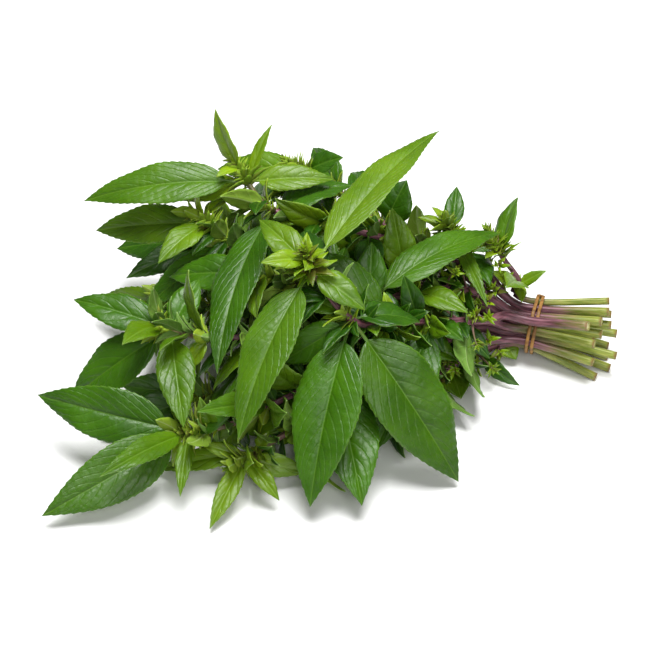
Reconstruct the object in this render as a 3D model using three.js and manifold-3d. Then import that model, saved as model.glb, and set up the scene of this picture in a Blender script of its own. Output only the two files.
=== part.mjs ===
// A bunch of Thai basil lying on a table: sixteen leafy stems held by one rubber band, wound twice.
// Millimetres, +Z up, X along the bunch with the cut ends at +X, the origin under the middle of the bunch.
// Each leafy stem is one mesh: the stem, its leaves in opposite pairs, the small shoots in their axils and
// the young rosette at the tip. The rubber band is a mesh of its own.
import * as THREE from "three";
import { mergeVertices } from "three/addons/utils/BufferGeometryUtils.js";
import Module from "manifold-3d";

const wasm = await Module();
wasm.setup();

const V = (x, y, z) => new THREE.Vector3(x, y, z);
const radians = THREE.MathUtils.degToRad;
const UP = V(0, 0, 1);

// A direction swung from a towards b, which stands square to it.
const swung = (a, b, angle) => a.clone().multiplyScalar(Math.cos(angle)).addScaledVector(b, Math.sin(angle));

// ---------------------------------------------------------------- driving dimensions

const MIDDLE = V(2.5, 3.7, 0); // of the whole bunch, which the origin is put under
const TABLE_SIDE = 500; // of the block below the table that is cut away
const TABLE_DEPTH = 20;

// The bundle, where the band holds it.
const BAND_CENTRE = V(91, 21, 15.4);
const BUNDLE_AXIS = V(31, -9, -1).normalize(); // towards the cut ends
const CUT_SPREAD_ACROSS = 1.45; // how far the stems stand apart at the cut ends, as a share of the bundle
const CUT_SPREAD_UP = 1.6;
const CUT_RISE = 1.5; // of the upper cut ends
const FAN_BACK = 12; // the stems leave the bundle this far behind the band
const FAN_SPREAD = 1.15;

// Stems.
const LOWEST_ROW = -6; // stems whose slot is below this rest on the table at their cut ends
const FLAT_DEPTH = 0.5; // and are flattened by this much
const STEM_SIDES = 6;
const STEM_STEP = 17.5; // length of one straight piece of a stem
const STEM_TIP_RADIUS = 0.9;
const STEM_TAPER = 0.6;
const PATH_STEPS = 24; // of the curve between two points of a path
const PATH_TENSION = 0.5; // of that curve

// The rubber band.
const BAND_WIDTH = 1.5;
const BAND_THICKNESS = 1.1;
const BAND_GAP = 0.4; // kept between the band and the stems
const BAND_OFFSET = 1.2; // each turn lies this far from the middle of the two
const BAND_CROSSING = 1.6; // how far one turn rises over the other where they cross
const BAND_CHANGE = 0.2; // how gently the turns change places
const BAND_STEPS = 64; // along both turns together

// Leaves. The widest place and the point of a blade come from t^BLADE_BASE * (1 - t)^BLADE_POINT.
const BLADE_THICKNESS = 0.8;
const RIB_LEAD = 0.02; // of a leaf's length that a margin may run ahead of the midrib in the triangles
const PETIOLE_SHARE = 0.13; // of a leaf's length from the stem
const PETIOLE_HALF_WIDTH = 0.8;
const BLADE_BASE = 0.62;
const BLADE_POINT = 1.05;
const TOOTH_EVERY = 28; // of a leaf's length, on each side
const TOOTH_DEPTH = 0.05; // of the half width
const FIRST_TOOTH = 0.75; // of a tooth's pitch from the stalk
const TOOTH_NOTCH = 0.25; // of a pitch from a tooth to the notch before the next
const LAST_GAP = 0.5; // of a pitch added before the tip
const FOLD = 0.34; // how far the two halves rise from the midrib, as a slope
const CURL = 0.24; // how far the margins turn down again
const RIPPLE = 0.06; // how far the margins wave up and down
const RIPPLE_WAVES = 3; // along a leaf
const RIPPLE_LAG = 2; // between the midrib and a margin, in radians

// Leaves that grow by rule: their length rises from the tip of a stem to the older nodes.
const YOUNG_LENGTH = 26;
const OLD_LENGTH = 66;
const OLD_AT = 70; // distance back from the tip where leaves are full grown
const LENGTH_SCATTER = 0.12;
const WIDTH_SHARE = 0.42; // of a leaf's length
const LEAF_ANGLE = radians(58); // between a leaf and its stem
const LEAF_SAG = 0.18;
const LEAF_BEND = 0.7; // of the midrib, in radians
const LEAF_TURN_SCATTER = 0.4; // about the stem, in radians
const LEAF_FACE = { ahead: 0.5, up: 0.6, inward: 0.3 }; // where its upper face looks
const ROSETTE_BLADES = 3;
const ROSETTE_LENGTH = { shortest: 12.8, longer: 8 };
const ROSETTE_BELOW = 0.5; // the tip of the stem
const ROSETTE_TURN_SCATTER = 0.6; // of the way to the next blade
const ROSETTE_STEP = 1.6; // between the roots of two blades
const ROSETTE_ANGLE = radians(38);
const ROSETTE_ANGLE_SCATTER = radians(24);
const SHOOT_LENGTH = { shortest: 24, longer: 12 };
const SHOOT_ANGLE = radians(40);
const SHOOT_ABOVE = 2; // the distance of a shoot from its node
const SMALL_INWARD = 0.2; // how far a small leaf's upper face looks back to its stem

// Room. Every leaf marks the cells that it fills, and a leaf of another stem keeps out of them.
const CELL = 1.6;
const ROOM_LOW = V(-150, -120, -4);
const ROOM_CELLS = [200, 150, 82];
const SAMPLE_STEP = 1.1;
const ROOT_REACH = 10;
const REACH = new THREE.Box3(V(-127, -94, 0.85), V(128, 99, 112)); // no blade leaves this box
const MOUND_CENTRE = V(-18, 0, 0);
const MOUND_RADII = V(110, 92, 98); // leaves that grow by rule end inside this mound

// ---------------------------------------------------------------- the stems, by hand

// slot: place in the bundle, across it and up, from its middle; beyond: length past the band;
// path: the way from the fan to the tip; nodes: distances back from the tip where leaves grow in pairs;
// turn: the turn of the pairs about the stem, in degrees; leaves: those whose place is given, by the node
// that they grow from, with a hint of their own where the upper face isn't turned as usual.
const STEMS = [
  {
    name: "leafy_stem_front_top", slot: [-9.8, 9.6], beyond: 24, radius: 2.1, held: false,
    path: [V(66, 5, 31), V(43, -4, 38), V(24, -19, 50), V(8, -32, 62), V(-8, -22, 79), V(-10, -24, 88)],
    nodes: [9, 35, 62, 88], turn: 30,
    leaves: [
      { node: 0, tip: V(-37, -76, 38), width: 22, bend: 0.7, hint: V(-0.45, -0.5, 0.75) },
      { node: 0, tip: V(46, 52, 98), width: 20, bend: 0.5, hint: V(-0.45, -0.3, 0.85) },
      { node: 0, tip: V(12, -34, 67), width: 12, bend: 0.5 },
      { node: 0, tip: V(-30, 4, 86), width: 13, bend: 0.6 },
      { node: 1, tip: V(52, -65, 3), width: 31, bend: 0.5 },
      { node: 1, tip: V(-9, -85, 9), width: 28, bend: 0.6, hint: V(0.25, -0.5, 0.85) },
      { node: 1, tip: V(35, -24, 51), width: 18, bend: 0.8 },
      { node: 1, tip: V(-22, -33, 40), width: 15, bend: 0.6 },
      { node: 3, tip: V(18, -52, 8), width: 24, bend: 0.7 },
      { node: 3, tip: V(55, -19, 40), width: 9, bend: 0.6 },
    ],
  },
  {
    name: "leafy_stem_back_top", slot: [2.6, 6.75], beyond: 31, radius: 1.95,
    path: [V(62, 33, 37), V(28, 31, 54), V(0, 30, 64), V(-27, 34, 70), V(-41, 49, 82)],
    nodes: [3, 9, 26, 56, 84], turn: 70,
    leaves: [
      { node: 0, tip: V(-50, 56, 106), width: 11, bend: 0.5, hint: V(-0.75, -0.6, 0.4) },
      { node: 1, tip: V(-108, 42, 68), width: 20, bend: 0.8 },
      { node: 1, tip: V(1, 44, 78), width: 13, bend: 0.6 },
      { node: 1, tip: V(-69, 44, 70), width: 12, bend: 0.6 },
      { node: 2, tip: V(-47, -42, 42), width: 22, bend: 0.7, hint: V(-0.5, -0.45, 0.75) },
      { node: 2, tip: V(9, 48, 72), width: 20, bend: 0.6 },
      { node: 1, tip: V(-26, 55, 99), width: 6, bend: 0.4, hint: V(-0.5, -0.6, 0.4) },
      { node: 2, tip: V(-12, 56, 95), width: 9, bend: 0.4, hint: V(-0.5, -0.6, 0.5) },
    ],
  },
  {
    name: "leafy_stem_middle_top", slot: [-2.6, 6.75], beyond: 29, radius: 1.95,
    path: [V(62, 20, 35), V(38, 10, 44), V(15, -6, 50), V(-12, 0, 56), V(-34, 6, 56)],
    nodes: [5, 22, 52, 80, 104], turn: 10,
    leaves: [
      { node: 2, tip: V(74, 36, 55), width: 19, bend: 0.9, hint: V(-0.35, -0.3, 0.9) },
      { node: 2, tip: V(17, 12, 68), width: 14, bend: 0.6 },
      { node: 1, tip: V(-30, -42, 42), width: 20, bend: 0.6 },
      { node: 0, tip: V(-72, -4, 60), width: 17, bend: 0.6 },
      { node: 4, tip: V(40, 17, 44), width: 8, bend: 0.5 },
      { node: 4, tip: V(59, 4, 24), width: 8, bend: 0.6 },
    ],
  },
  {
    name: "leafy_stem_back_upper", slot: [2.6, 2.25], beyond: 33, radius: 1.85,
    path: [V(62, 38, 28), V(44, 42, 38), V(24, 46, 52), V(2, 58, 62), V(-16, 66, 70)],
    nodes: [5, 26, 48, 74], turn: 50,
    leaves: [
      { node: 0, tip: V(-52, 78, 60), width: 16, bend: 0.5 },
      { node: 1, tip: V(28, 88, 42), width: 21, bend: 0.6 },
      { node: 1, tip: V(-14, 90, 62), width: 15, bend: 0.5 },
      { node: 2, tip: V(33, 52, 72), width: 18, bend: 0.6 },
      { node: 0, tip: V(5, 58, 80), width: 12, bend: 0.5 },
    ],
  },
  {
    name: "leafy_stem_left_upper", slot: [-2.6, 2.25], beyond: 30, radius: 1.95,
    path: [V(62, 25, 27), V(34, 20, 38), V(2, 14, 46), V(-32, 22, 52), V(-58, 38, 63)],
    nodes: [5, 20, 44, 72, 100], turn: 0,
    leaves: [
      { node: 1, tip: V(-83, 1, 42), width: 15, bend: 0.6 },
      { node: 0, tip: V(-105, 46, 49), width: 18, bend: 0.5, hint: V(0, -0.6, 0.8) },
      { node: 4, tip: V(26, 34, 70), width: 15, bend: 0.5 },
    ],
  },
  {
    name: "leafy_stem_left_middle", slot: [-7.8, 2.25], beyond: 28, radius: 1.95,
    path: [V(64, 14, 24), V(46, 4, 28), V(14, -12, 36), V(-20, -20, 44), V(-52, -24, 46), V(-76, -13, 44)],
    nodes: [4, 10, 30, 58, 86, 116], turn: 40,
    leaves: [
      { node: 1, tip: V(-109, -4, 50), width: 16, bend: 0.5 },
      { node: 1, tip: V(-115, -25, 16), width: 22, bend: 0.5 },
      { node: 1, tip: V(-60, -60, 29), width: 16, bend: 0.5 },
      { node: 1, tip: V(-56, 2, 56), width: 13, bend: 0.5 },
      { node: 3, tip: V(-18, -57, 34), width: 9, bend: 0.5 },
      { node: 5, tip: V(57, -5, 28), width: 12, bend: 0.4 },
    ],
  },
  {
    name: "leafy_stem_left_low", slot: [-5.2, -2.25], beyond: 38, radius: 1.85,
    path: [V(64, 17, 17), V(44, 2, 19), V(12, -18, 26), V(-16, -38, 27), V(-42, -52, 23), V(-62, -54, 20)],
    nodes: [3, 14, 40, 70, 98], turn: 20,
    leaves: [
      { node: 0, tip: V(-123, -35, 24), width: 23, bend: 0.5, hint: V(0, -0.8, 0.6) },
      { node: 0, tip: V(-39, -47, 33), width: 12, bend: 0.5 },
      { node: 0, tip: V(-116, -88, 7), width: 23, bend: 0.4, hint: V(-0.05, -0.3, 0.95) },
      { node: 0, tip: V(-91, -90, 26), width: 11, bend: 0.5 },
      { node: 0, tip: V(-61, -83, 18), width: 7, bend: 0.6 },
      { node: 2, tip: V(-56, -66, 30), width: 12, bend: 0.5 },
    ],
  },
  {
    name: "leafy_stem_front_low", slot: [-10.4, -2.25], beyond: 29, radius: 1.85,
    path: [V(66, 6, 16), V(48, -8, 14), V(20, -30, 16), V(-8, -44, 18), V(-26, -56, 16), V(-38, -63, 13)],
    nodes: [3, 8, 30, 58, 90], turn: 60,
    leaves: [
      { node: 0, tip: V(-49, -91, 3), width: 9, bend: 0.5 },
      { node: 0, tip: V(-22, -78, 4), width: 8, bend: 0.9 },
      { node: 0, tip: V(-10, -64, 8), width: 10, bend: 0.4 },
      { node: 1, tip: V(-71, -71, 3), width: 10, bend: 0.5 },
      { node: 0, tip: V(-12, -69, 3), width: 9, bend: 0.6 },
      { node: 1, tip: V(-26, -55, 22), width: 6, bend: 0.5 },
      { node: 0, tip: V(-52, -59, 22), width: 7, bend: 0.5 },
    ],
  },
  {
    name: "leafy_stem_back_left", slot: [2.6, -6.75], beyond: 34, radius: 1.85,
    path: [V(62, 38, 14), V(34, 46, 24), V(4, 48, 34), V(-26, 52, 38), V(-60, 56, 34)],
    nodes: [5, 22, 46, 72, 98], turn: 0,
    leaves: [
      { node: 0, tip: V(-100, 68, 22), width: 20, bend: 0.5 },
      { node: 0, tip: V(-92, 36, 30), width: 15, bend: 0.5 },
      { node: 1, tip: V(-58, 90, 18), width: 19, bend: 0.6 },
    ],
  },
  {
    name: "leafy_stem_back_middle", slot: [5.2, -2.25], beyond: 36, radius: 1.85,
    path: [V(62, 45, 23), V(46, 50, 32), V(22, 58, 42), V(-4, 66, 50), V(-22, 70, 56)],
    nodes: [5, 22, 46, 72], turn: 45,
    leaves: [
      { node: 0, tip: V(-40, 92, 34), width: 18, bend: 0.6 },
      { node: 1, tip: V(4, 95, 14), width: 22, bend: 0.7 },
      { node: 2, tip: V(40, 88, 14), width: 20, bend: 0.7 },
      { node: 3, tip: V(74, 68, 12), width: 17, bend: 0.6 },
    ],
  },
  {
    name: "leafy_stem_back_low", slot: [7.8, -6.75], beyond: 33, radius: 1.75,
    path: [V(64, 47, 14), V(44, 54, 17), V(18, 62, 20), V(-14, 68, 22), V(-40, 66, 24)],
    nodes: [5, 24, 48, 74], turn: 20,
    leaves: [
      { node: 0, tip: V(-82, 76, 1.5), width: 20, bend: 0.5 },
      { node: 0, tip: V(-60, 94, 5), width: 16, bend: 0.5 },
      { node: 1, tip: V(-32, 98, 5), width: 17, bend: 0.6 },
      { node: 2, tip: V(14, 96, 1.5), width: 17, bend: 0.6 },
      { node: 3, tip: V(56, 84, 1.5), width: 17, bend: 0.6 },
    ],
  },
  {
    name: "leafy_stem_near_band_upper", slot: [7.8, 2.25], beyond: 32, radius: 1.75,
    path: [V(70, 38, 32), V(57, 40, 44), V(52, 42, 54)],
    nodes: [3, 12], turn: 15,
    leaves: [
      { node: 0, tip: V(56, 60, 63), width: 9, bend: 0.5 },
      { node: 1, tip: V(68, 17, 34), width: 16, bend: 0.5 },
      { node: 0, tip: V(66, -1, 44), width: 7, bend: 0.5 },
    ],
  },
  {
    name: "leafy_stem_near_band_back", slot: [7.8, 6.75], beyond: 30, radius: 1.75,
    path: [V(83, 31, 33), V(76, 35, 42), V(71, 38, 50)],
    nodes: [3, 9, 27], turn: 80,
    leaves: [
      { node: 1, tip: V(83, 56, 60), width: 12, bend: 0.7, hint: V(-0.7, -0.5, 0.3) },
      { node: 2, tip: V(95, 31, 38), width: 6, bend: 0.4 },
    ],
  },
  {
    name: "leafy_stem_left_inner", slot: [0, -2.25], beyond: 27, radius: 1.85,
    path: [V(62, 29, 20), V(30, 24, 26), V(-10, 14, 30), V(-46, 12, 32), V(-74, 20, 32)],
    nodes: [5, 24, 50, 78, 106], turn: 35,
    leaves: [
      { node: 0, tip: V(-114, 20, 12), width: 13, bend: 0.5 },
      { node: 0, tip: V(-104, -2, 14), width: 18, bend: 0.5 },
    ],
  },
  {
    name: "leafy_stem_front_short", slot: [-7.8, -6.75], beyond: 31, radius: 1.75,
    path: [V(70, 13, 8), V(52, 4, 7), V(36, -8, 8), V(22, -18, 8)],
    nodes: [4, 18, 37, 54, 66], turn: 0,
    leaves: [
      { node: 2, tip: V(50, -16, 4), width: 15, bend: 0.4, hint: V(0, -0.5, 0.85) },
      { node: 2, tip: V(34, 4, 28), width: 13, bend: 0.6 },
      { node: 3, tip: V(83, -6, 5), width: 8, bend: 1.3, hint: V(-0.5, -0.6, 0.4) },
      { node: 4, tip: V(83, 9, 7), width: 8, bend: 0.5 },
    ],
  },
  {
    name: "leafy_stem_floor", slot: [-2.6, -6.75], beyond: 36, radius: 1.85,
    path: [V(62, 24, 11), V(36, 10, 10), V(4, -8, 11), V(-30, -22, 12), V(-60, -24, 13)],
    nodes: [5, 24, 50, 78, 106], turn: 45,
    leaves: [
      { node: 0, tip: V(-98, -38, 5), width: 18, bend: 0.4 },
      { node: 0, tip: V(-92, -8, 5), width: 16, bend: 0.4 },
    ],
  },
];

// ---------------------------------------------------------------- stems

// Across the bundle and up out of it.
const BUNDLE_ACROSS = UP.clone().cross(BUNDLE_AXIS).normalize();
const BUNDLE_UP = BUNDLE_AXIS.clone().cross(BUNDLE_ACROSS);

function bundlePlace([across, up], along, spread) {
  return BAND_CENTRE.clone()
    .addScaledVector(BUNDLE_AXIS, along)
    .addScaledVector(BUNDLE_ACROSS, across * spread)
    .addScaledVector(BUNDLE_UP, up * spread);
}

// The centre line of a stem from its cut end to its tip, as short steps with their distance from that end.
function centreLine(stem) {
  const [across, up] = stem.slot;
  const cutEnd = bundlePlace([across * CUT_SPREAD_ACROSS, up * CUT_SPREAD_UP + CUT_RISE], stem.beyond, 1);
  if (stem.slot[1] < LOWEST_ROW) {
    cutEnd.z = stem.radius * Math.cos(Math.PI / STEM_SIDES) - FLAT_DEPTH;
  }
  const places = [
    cutEnd,
    bundlePlace(stem.slot, 0, 1),
    bundlePlace(stem.slot, -FAN_BACK, FAN_SPREAD),
    ...stem.path,
  ];
  const curve = new THREE.CatmullRomCurve3(places, false, "catmullrom", PATH_TENSION);
  const points = curve.getPoints((places.length - 1) * PATH_STEPS);
  const along = [0];
  for (let i = 1; i < points.length; i++) {
    along.push(along[i - 1] + points[i].distanceTo(points[i - 1]));
  }
  return { points, along, length: along.at(-1) };
}

// The point and direction of a centre line, a distance along it from the cut end.
function lineAt(line, distance) {
  let i = 1;
  while (i < line.points.length - 1 && line.along[i] < distance) {
    i += 1;
  }
  const share = (distance - line.along[i - 1]) / (line.along[i] - line.along[i - 1]);
  const point = line.points[i - 1].clone().lerp(line.points[i], share);
  const direction = line.points[i].clone().sub(line.points[i - 1]).normalize();
  const side = UP.clone().cross(direction).normalize();
  const over = direction.clone().cross(side);
  return { point, direction, side, over };
}

function stemRadius(stem, line, distance) {
  const back = Math.max(0, 1 - distance / line.length);
  return STEM_TIP_RADIUS + (stem.radius - STEM_TIP_RADIUS) * back ** STEM_TAPER;
}

// ---------------------------------------------------------------- leaves

// A repeatable number from 0 to 1 for leaf j of stem i: the last digits of a large sine wave.
function scatter(i, j) {
  const wave = Math.sin(i * 12.9898 + j * 78.233) * 43758.5453;
  return wave - Math.floor(wave);
}

// The midrib bends as an arc from root to tip, its ends turned from the chord by half the bend.
function leafFrame(leaf) {
  const chord = leaf.tip.clone().sub(leaf.root);
  const reach = chord.length();
  const forward = chord.divideScalar(reach);
  const normal = leaf.hint.clone().addScaledVector(forward, -leaf.hint.dot(forward)).normalize();
  const across = normal.clone().cross(forward);
  const half = leaf.bend / 2;
  const length = reach * half / Math.sin(half);
  const start = swung(forward, normal, half);
  const rise = swung(normal, forward, -half);
  return { root: leaf.root, start, rise, across, length, turn: leaf.bend / length };
}

// Half the width at a share s of the leaf's length, without teeth.
function halfWidth(leaf, s) {
  const stalk = PETIOLE_HALF_WIDTH;
  if (s <= PETIOLE_SHARE) {
    return stalk;
  }
  const t = (s - PETIOLE_SHARE) / (1 - PETIOLE_SHARE);
  const widest = BLADE_BASE / (BLADE_BASE + BLADE_POINT);
  const peak = widest ** BLADE_BASE * (1 - widest) ** BLADE_POINT;
  const blade = leaf.width / 2 * t ** BLADE_BASE * (1 - t) ** BLADE_POINT / peak;
  return Math.max(blade, stalk * (1 - t));
}

// A point of the leaf: s runs from root to tip, w from -1 to 1 across, out widens or narrows the margin.
function leafPoint(leaf, frame, s, w, out) {
  const angle = leaf.bend * s;
  const forward = Math.sin(angle) / frame.turn;
  const drop = (1 - Math.cos(angle)) / frame.turn;
  const normal = swung(frame.rise, frame.start, angle);
  const half = halfWidth(leaf, s) * out;
  const wave = RIPPLE * w * w * Math.sin(2 * Math.PI * RIPPLE_WAVES * s + RIPPLE_LAG * w);
  const lift = half * (FOLD * Math.abs(w) - CURL * w * w + wave);
  const point = frame.root.clone()
    .addScaledVector(frame.start, forward)
    .addScaledVector(frame.rise, -drop)
    .addScaledVector(frame.across, w * half)
    .addScaledVector(normal, lift);
  return { point, normal };
}

// ---------------------------------------------------------------- room

const cells = new Int16Array(ROOM_CELLS[0] * ROOM_CELLS[1] * ROOM_CELLS[2]);
const SHARED = -1;

function cellOf(point) {
  const i = Math.floor((point.x - ROOM_LOW.x) / CELL);
  const j = Math.floor((point.y - ROOM_LOW.y) / CELL);
  const k = Math.floor((point.z - ROOM_LOW.z) / CELL);
  return (i * ROOM_CELLS[1] + j) * ROOM_CELLS[2] + k;
}

function markCells(points, owner) {
  const row = ROOM_CELLS[2];
  const sheet = ROOM_CELLS[1] * row;
  for (const point of points) {
    const centre = cellOf(point);
    for (const i of [-sheet, 0, sheet]) {
      for (const j of [-row, 0, row]) {
        for (const k of [-1, 0, 1]) {
          const cell = centre + i + j + k;
          if (cells[cell] === 0) {
            cells[cell] = owner;
          } else if (cells[cell] !== owner) {
            cells[cell] = SHARED;
          }
        }
      }
    }
  }
}

// The points that stand for a leaf, closer together than the cells are wide.
function leafSamples(leaf) {
  const frame = leafFrame(leaf);
  const rows = Math.ceil(frame.length / SAMPLE_STEP);
  const columns = Math.ceil(leaf.width * (1 + TOOTH_DEPTH) / SAMPLE_STEP);
  const samples = [];
  for (let i = 1; i <= rows; i++) {
    for (let j = 0; j <= columns; j++) {
      samples.push(leafPoint(leaf, frame, i / rows, 2 * j / columns - 1, 1 + TOOTH_DEPTH).point);
    }
  }
  return samples;
}

// Only near its root may a leaf lie against its own stem and that stem's leaves.
function isClear(samples, owner, root) {
  return samples.every((point) => {
    if (!REACH.containsPoint(point)) {
      return false;
    }
    const found = cells[cellOf(point)];
    return found === 0 || (found === owner && point.distanceTo(root) < ROOT_REACH);
  });
}

const LIFT_STEP = radians(6);
const SWING_STEP = radians(9);
const ROLL_STEP = radians(30);
const LIFT_COST = 2;
const SWING_COST = 3;
const ROLL_COST = 4;

// Ways to shift a leaf: steps of lift, swing and roll, the smallest shift first.
function shifts(lifts, swings, rolls) {
  const list = [];
  for (const lift of lifts) {
    for (const swing of swings) {
      for (const roll of rolls) {
        const cost = LIFT_COST * Math.abs(lift) + SWING_COST * Math.abs(swing) + ROLL_COST * Math.abs(roll);
        list.push({ lift, swing, roll, cost });
      }
    }
  }
  return list.sort((a, b) => a.cost - b.cost);
}

const SMALL_SHIFTS = shifts([0, 1, -1, 2, -2, 3, -3], [0, 1, -1, 2, -2, 3, -3], [0, 1, -1]);
const LARGE_SHIFTS = shifts([0, 1, -1, 2, -2, 3, 4, 6], [0, 1, -1, 2, -2, 3, -3, 5, -5], [0, 1, -1, 2, -2]);

function shifted(leaf, shift, share) {
  const chord = leaf.tip.clone().sub(leaf.root);
  const side = chord.clone().cross(UP).normalize();
  chord.applyAxisAngle(side, shift.lift * LIFT_STEP);
  chord.applyAxisAngle(UP, shift.swing * SWING_STEP);
  const hint = leaf.hint.clone().applyAxisAngle(chord.clone().normalize(), shift.roll * ROLL_STEP);
  return { ...leaf, tip: leaf.root.clone().addScaledVector(chord, share), width: leaf.width * share, hint };
}

function inMound(tip) {
  return tip.clone().sub(MOUND_CENTRE).divide(MOUND_RADII).length() < 1;
}

const SHARES = [1, 0.85, 0.7, 0.55];

// The first clear way to lay a leaf, shrunk if need be, or null.
function settle(leaf, owner) {
  const ways = leaf.given ? SMALL_SHIFTS : LARGE_SHIFTS;
  for (const share of SHARES) {
    for (const way of ways) {
      const tried = shifted(leaf, way, share);
      if (leaf.given || inMound(tried.tip)) {
        const samples = leafSamples(tried);
        if (isClear(samples, owner, tried.root)) {
          markCells(samples, owner);
          return tried;
        }
      }
    }
  }
  return null;
}

// ---------------------------------------------------------------- what grows where

const LEAF_HINT = V(0, -0.45, 0.9); // given leaves turn their upper face up and a little to the front

function givenLeaves(stem, line) {
  return stem.leaves.map((leaf) => {
    const root = lineAt(line, line.length - stem.nodes[leaf.node]).point;
    return { hint: LEAF_HINT, ...leaf, root, given: true };
  });
}

function ruleLeaves(stem, line, number) {
  const grown = [];
  stem.nodes.forEach((back, node) => {
    const place = lineAt(line, line.length - back);
    const given = stem.leaves.filter((leaf) => leaf.node === node);
    let angle = radians(stem.turn + 90 * node);
    if (given.length > 0) {
      const away = given[0].tip.clone().sub(place.point);
      angle = Math.atan2(away.dot(place.over), away.dot(place.side)) + Math.PI;
    }
    for (let side = given.length; side < 2; side++) {
      const grownShare = Math.min(1, back / OLD_AT);
      const chance = scatter(number, 10 * node + side);
      const length = THREE.MathUtils.lerp(YOUNG_LENGTH, OLD_LENGTH, grownShare)
        * (1 + LENGTH_SCATTER * (2 * chance - 1));
      const turn = angle + Math.PI * side + LEAF_TURN_SCATTER * (chance - 0.5);
      const outward = swung(place.side, place.over, turn);
      const direction = swung(place.direction, outward, LEAF_ANGLE)
        .addScaledVector(UP, -LEAF_SAG)
        .normalize();
      grown.push({
        root: place.point,
        tip: place.point.clone().addScaledVector(direction, length),
        width: WIDTH_SHARE * length,
        bend: LEAF_BEND,
        hint: place.direction.clone().multiplyScalar(LEAF_FACE.ahead)
          .addScaledVector(UP, LEAF_FACE.up)
          .addScaledVector(outward, -LEAF_FACE.inward),
        given: false,
      });
    }
  });
  return grown;
}

// A rosette of small blades round the tip of every stem.
function rosetteLeaves(stem, line, number) {
  const blades = [];
  for (let blade = 0; blade < ROSETTE_BLADES; blade++) {
    const place = lineAt(line, line.length - ROSETTE_BELOW - ROSETTE_STEP * blade);
    const chance = scatter(number, 100 + blade);
    const turn = 2 * Math.PI * (blade + ROSETTE_TURN_SCATTER * chance) / ROSETTE_BLADES;
    const angle = ROSETTE_ANGLE + ROSETTE_ANGLE_SCATTER * chance;
    const length = ROSETTE_LENGTH.shortest + ROSETTE_LENGTH.longer * chance;
    blades.push(smallLeaf(place, turn, angle, length));
  }
  return blades;
}

// A small leaf in the axil above each node, where a side shoot begins.
function shootLeaves(stem, line, number) {
  return stem.nodes.slice(1).map((back, node) => {
    const place = lineAt(line, line.length - back + SHOOT_ABOVE);
    const chance = scatter(number, 200 + node);
    const length = SHOOT_LENGTH.shortest + SHOOT_LENGTH.longer * chance;
    return smallLeaf(place, 2 * Math.PI * chance, SHOOT_ANGLE, length);
  });
}

// A young leaf at an angle to the stem, its upper face towards the tip of the stem.
function smallLeaf(place, turn, angle, length) {
  const outward = swung(place.side, place.over, turn);
  const direction = swung(place.direction, outward, angle);
  return {
    root: place.point,
    tip: place.point.clone().addScaledVector(direction, length),
    width: WIDTH_SHARE * length,
    bend: LEAF_BEND,
    hint: place.direction.clone().addScaledVector(outward, -SMALL_INWARD),
    given: false,
  };
}

// ---------------------------------------------------------------- blades as solids

function solidOf(geometry) {
  const merged = mergeVertices(geometry, 1e-4);
  return new wasm.Manifold(new wasm.Mesh({
    numProp: 3,
    vertProperties: Float32Array.from(merged.attributes.position.array),
    triVerts: Uint32Array.from(merged.index.array),
  }));
}

function solidFrom(positions, triangles) {
  const geometry = new THREE.BufferGeometry();
  const numbers = positions.flatMap((p) => [p.x, p.y, p.z]);
  geometry.setAttribute("position", new THREE.Float32BufferAttribute(numbers, 3));
  geometry.setIndex(triangles.flat());
  return solidOf(geometry);
}

// Each margin goes from the stem along the stalk, then in and out over the teeth to the tip. The midrib has
// a point beside every second tooth. Both halves are filled between margin and midrib, alike on both faces.
function bladeSolid(leaf) {
  const frame = leafFrame(leaf);
  const teeth = 1 + Math.floor(frame.length / TOOTH_EVERY);
  const pitch = (1 - PETIOLE_SHARE) / (teeth + LAST_GAP);
  const margin = [{ s: 0, out: 1 }, { s: PETIOLE_SHARE, out: 1 }];
  for (let i = 0; i < teeth; i++) {
    const s = PETIOLE_SHARE + pitch * (i + FIRST_TOOTH);
    margin.push({ s, out: 1 + TOOTH_DEPTH });
    if (i < teeth - 1) {
      margin.push({ s: s + TOOTH_NOTCH * pitch, out: 1 - TOOTH_DEPTH });
    }
  }
  margin.push({ s: 1, out: 1 });
  const ribs = Math.ceil(teeth / 2);
  const rib = [];
  for (let i = 0; i < ribs; i++) {
    rib.push(PETIOLE_SHARE + (1 - PETIOLE_SHARE) * (i + 0.5) / (ribs + LAST_GAP));
  }
  const top = [];
  const add = (s, w, out) => top.push(leafPoint(leaf, frame, s, w, out)) - 1;
  const tip = add(1, 0, 1);
  const middle = [...rib.map((s) => ({ s, at: add(s, 0, 1) })), { s: 1, at: tip }];
  const sides = [-1, 1].map((w) => margin.map(({ s, out }) => ({ s, at: s === 1 ? tip : add(s, w, out) })));
  const faces = [];
  sides.forEach((edge, which) => {
    const face = (a, b, c) => faces.push(which === 0 ? [a, b, c] : [a, c, b]);
    let i = 0;
    let j = 0;
    while (i < edge.length - 2 || j < middle.length - 2) {
      const ribDone = j >= middle.length - 2;
      if (i < edge.length - 2 && (ribDone || edge[i + 1].s <= middle[j + 1].s + RIB_LEAD)) {
        face(edge[i].at, edge[i + 1].at, middle[j].at);
        i += 1;
      } else {
        face(edge[i].at, middle[j + 1].at, middle[j].at);
        j += 1;
      }
    }
    face(edge[i].at, tip, middle[j].at);
  });
  faces.push([sides[0][0].at, middle[0].at, sides[1][0].at]);
  const count = top.length;
  const positions = [
    ...top.map(({ point }) => point),
    ...top.map(({ point, normal }) => point.clone().addScaledVector(normal, -BLADE_THICKNESS)),
  ];
  const outline = [...sides[0], ...sides[1].slice(0, -1).reverse()].map(({ at }) => at);
  const triangles = [...faces, ...faces.map(([a, b, c]) => [a + count, c + count, b + count])];
  outline.forEach((a, i) => {
    const b = outline[(i + 1) % outline.length];
    triangles.push([a, a + count, b + count], [a, b + count, b]);
  });
  return solidFrom(positions, triangles);
}

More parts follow.
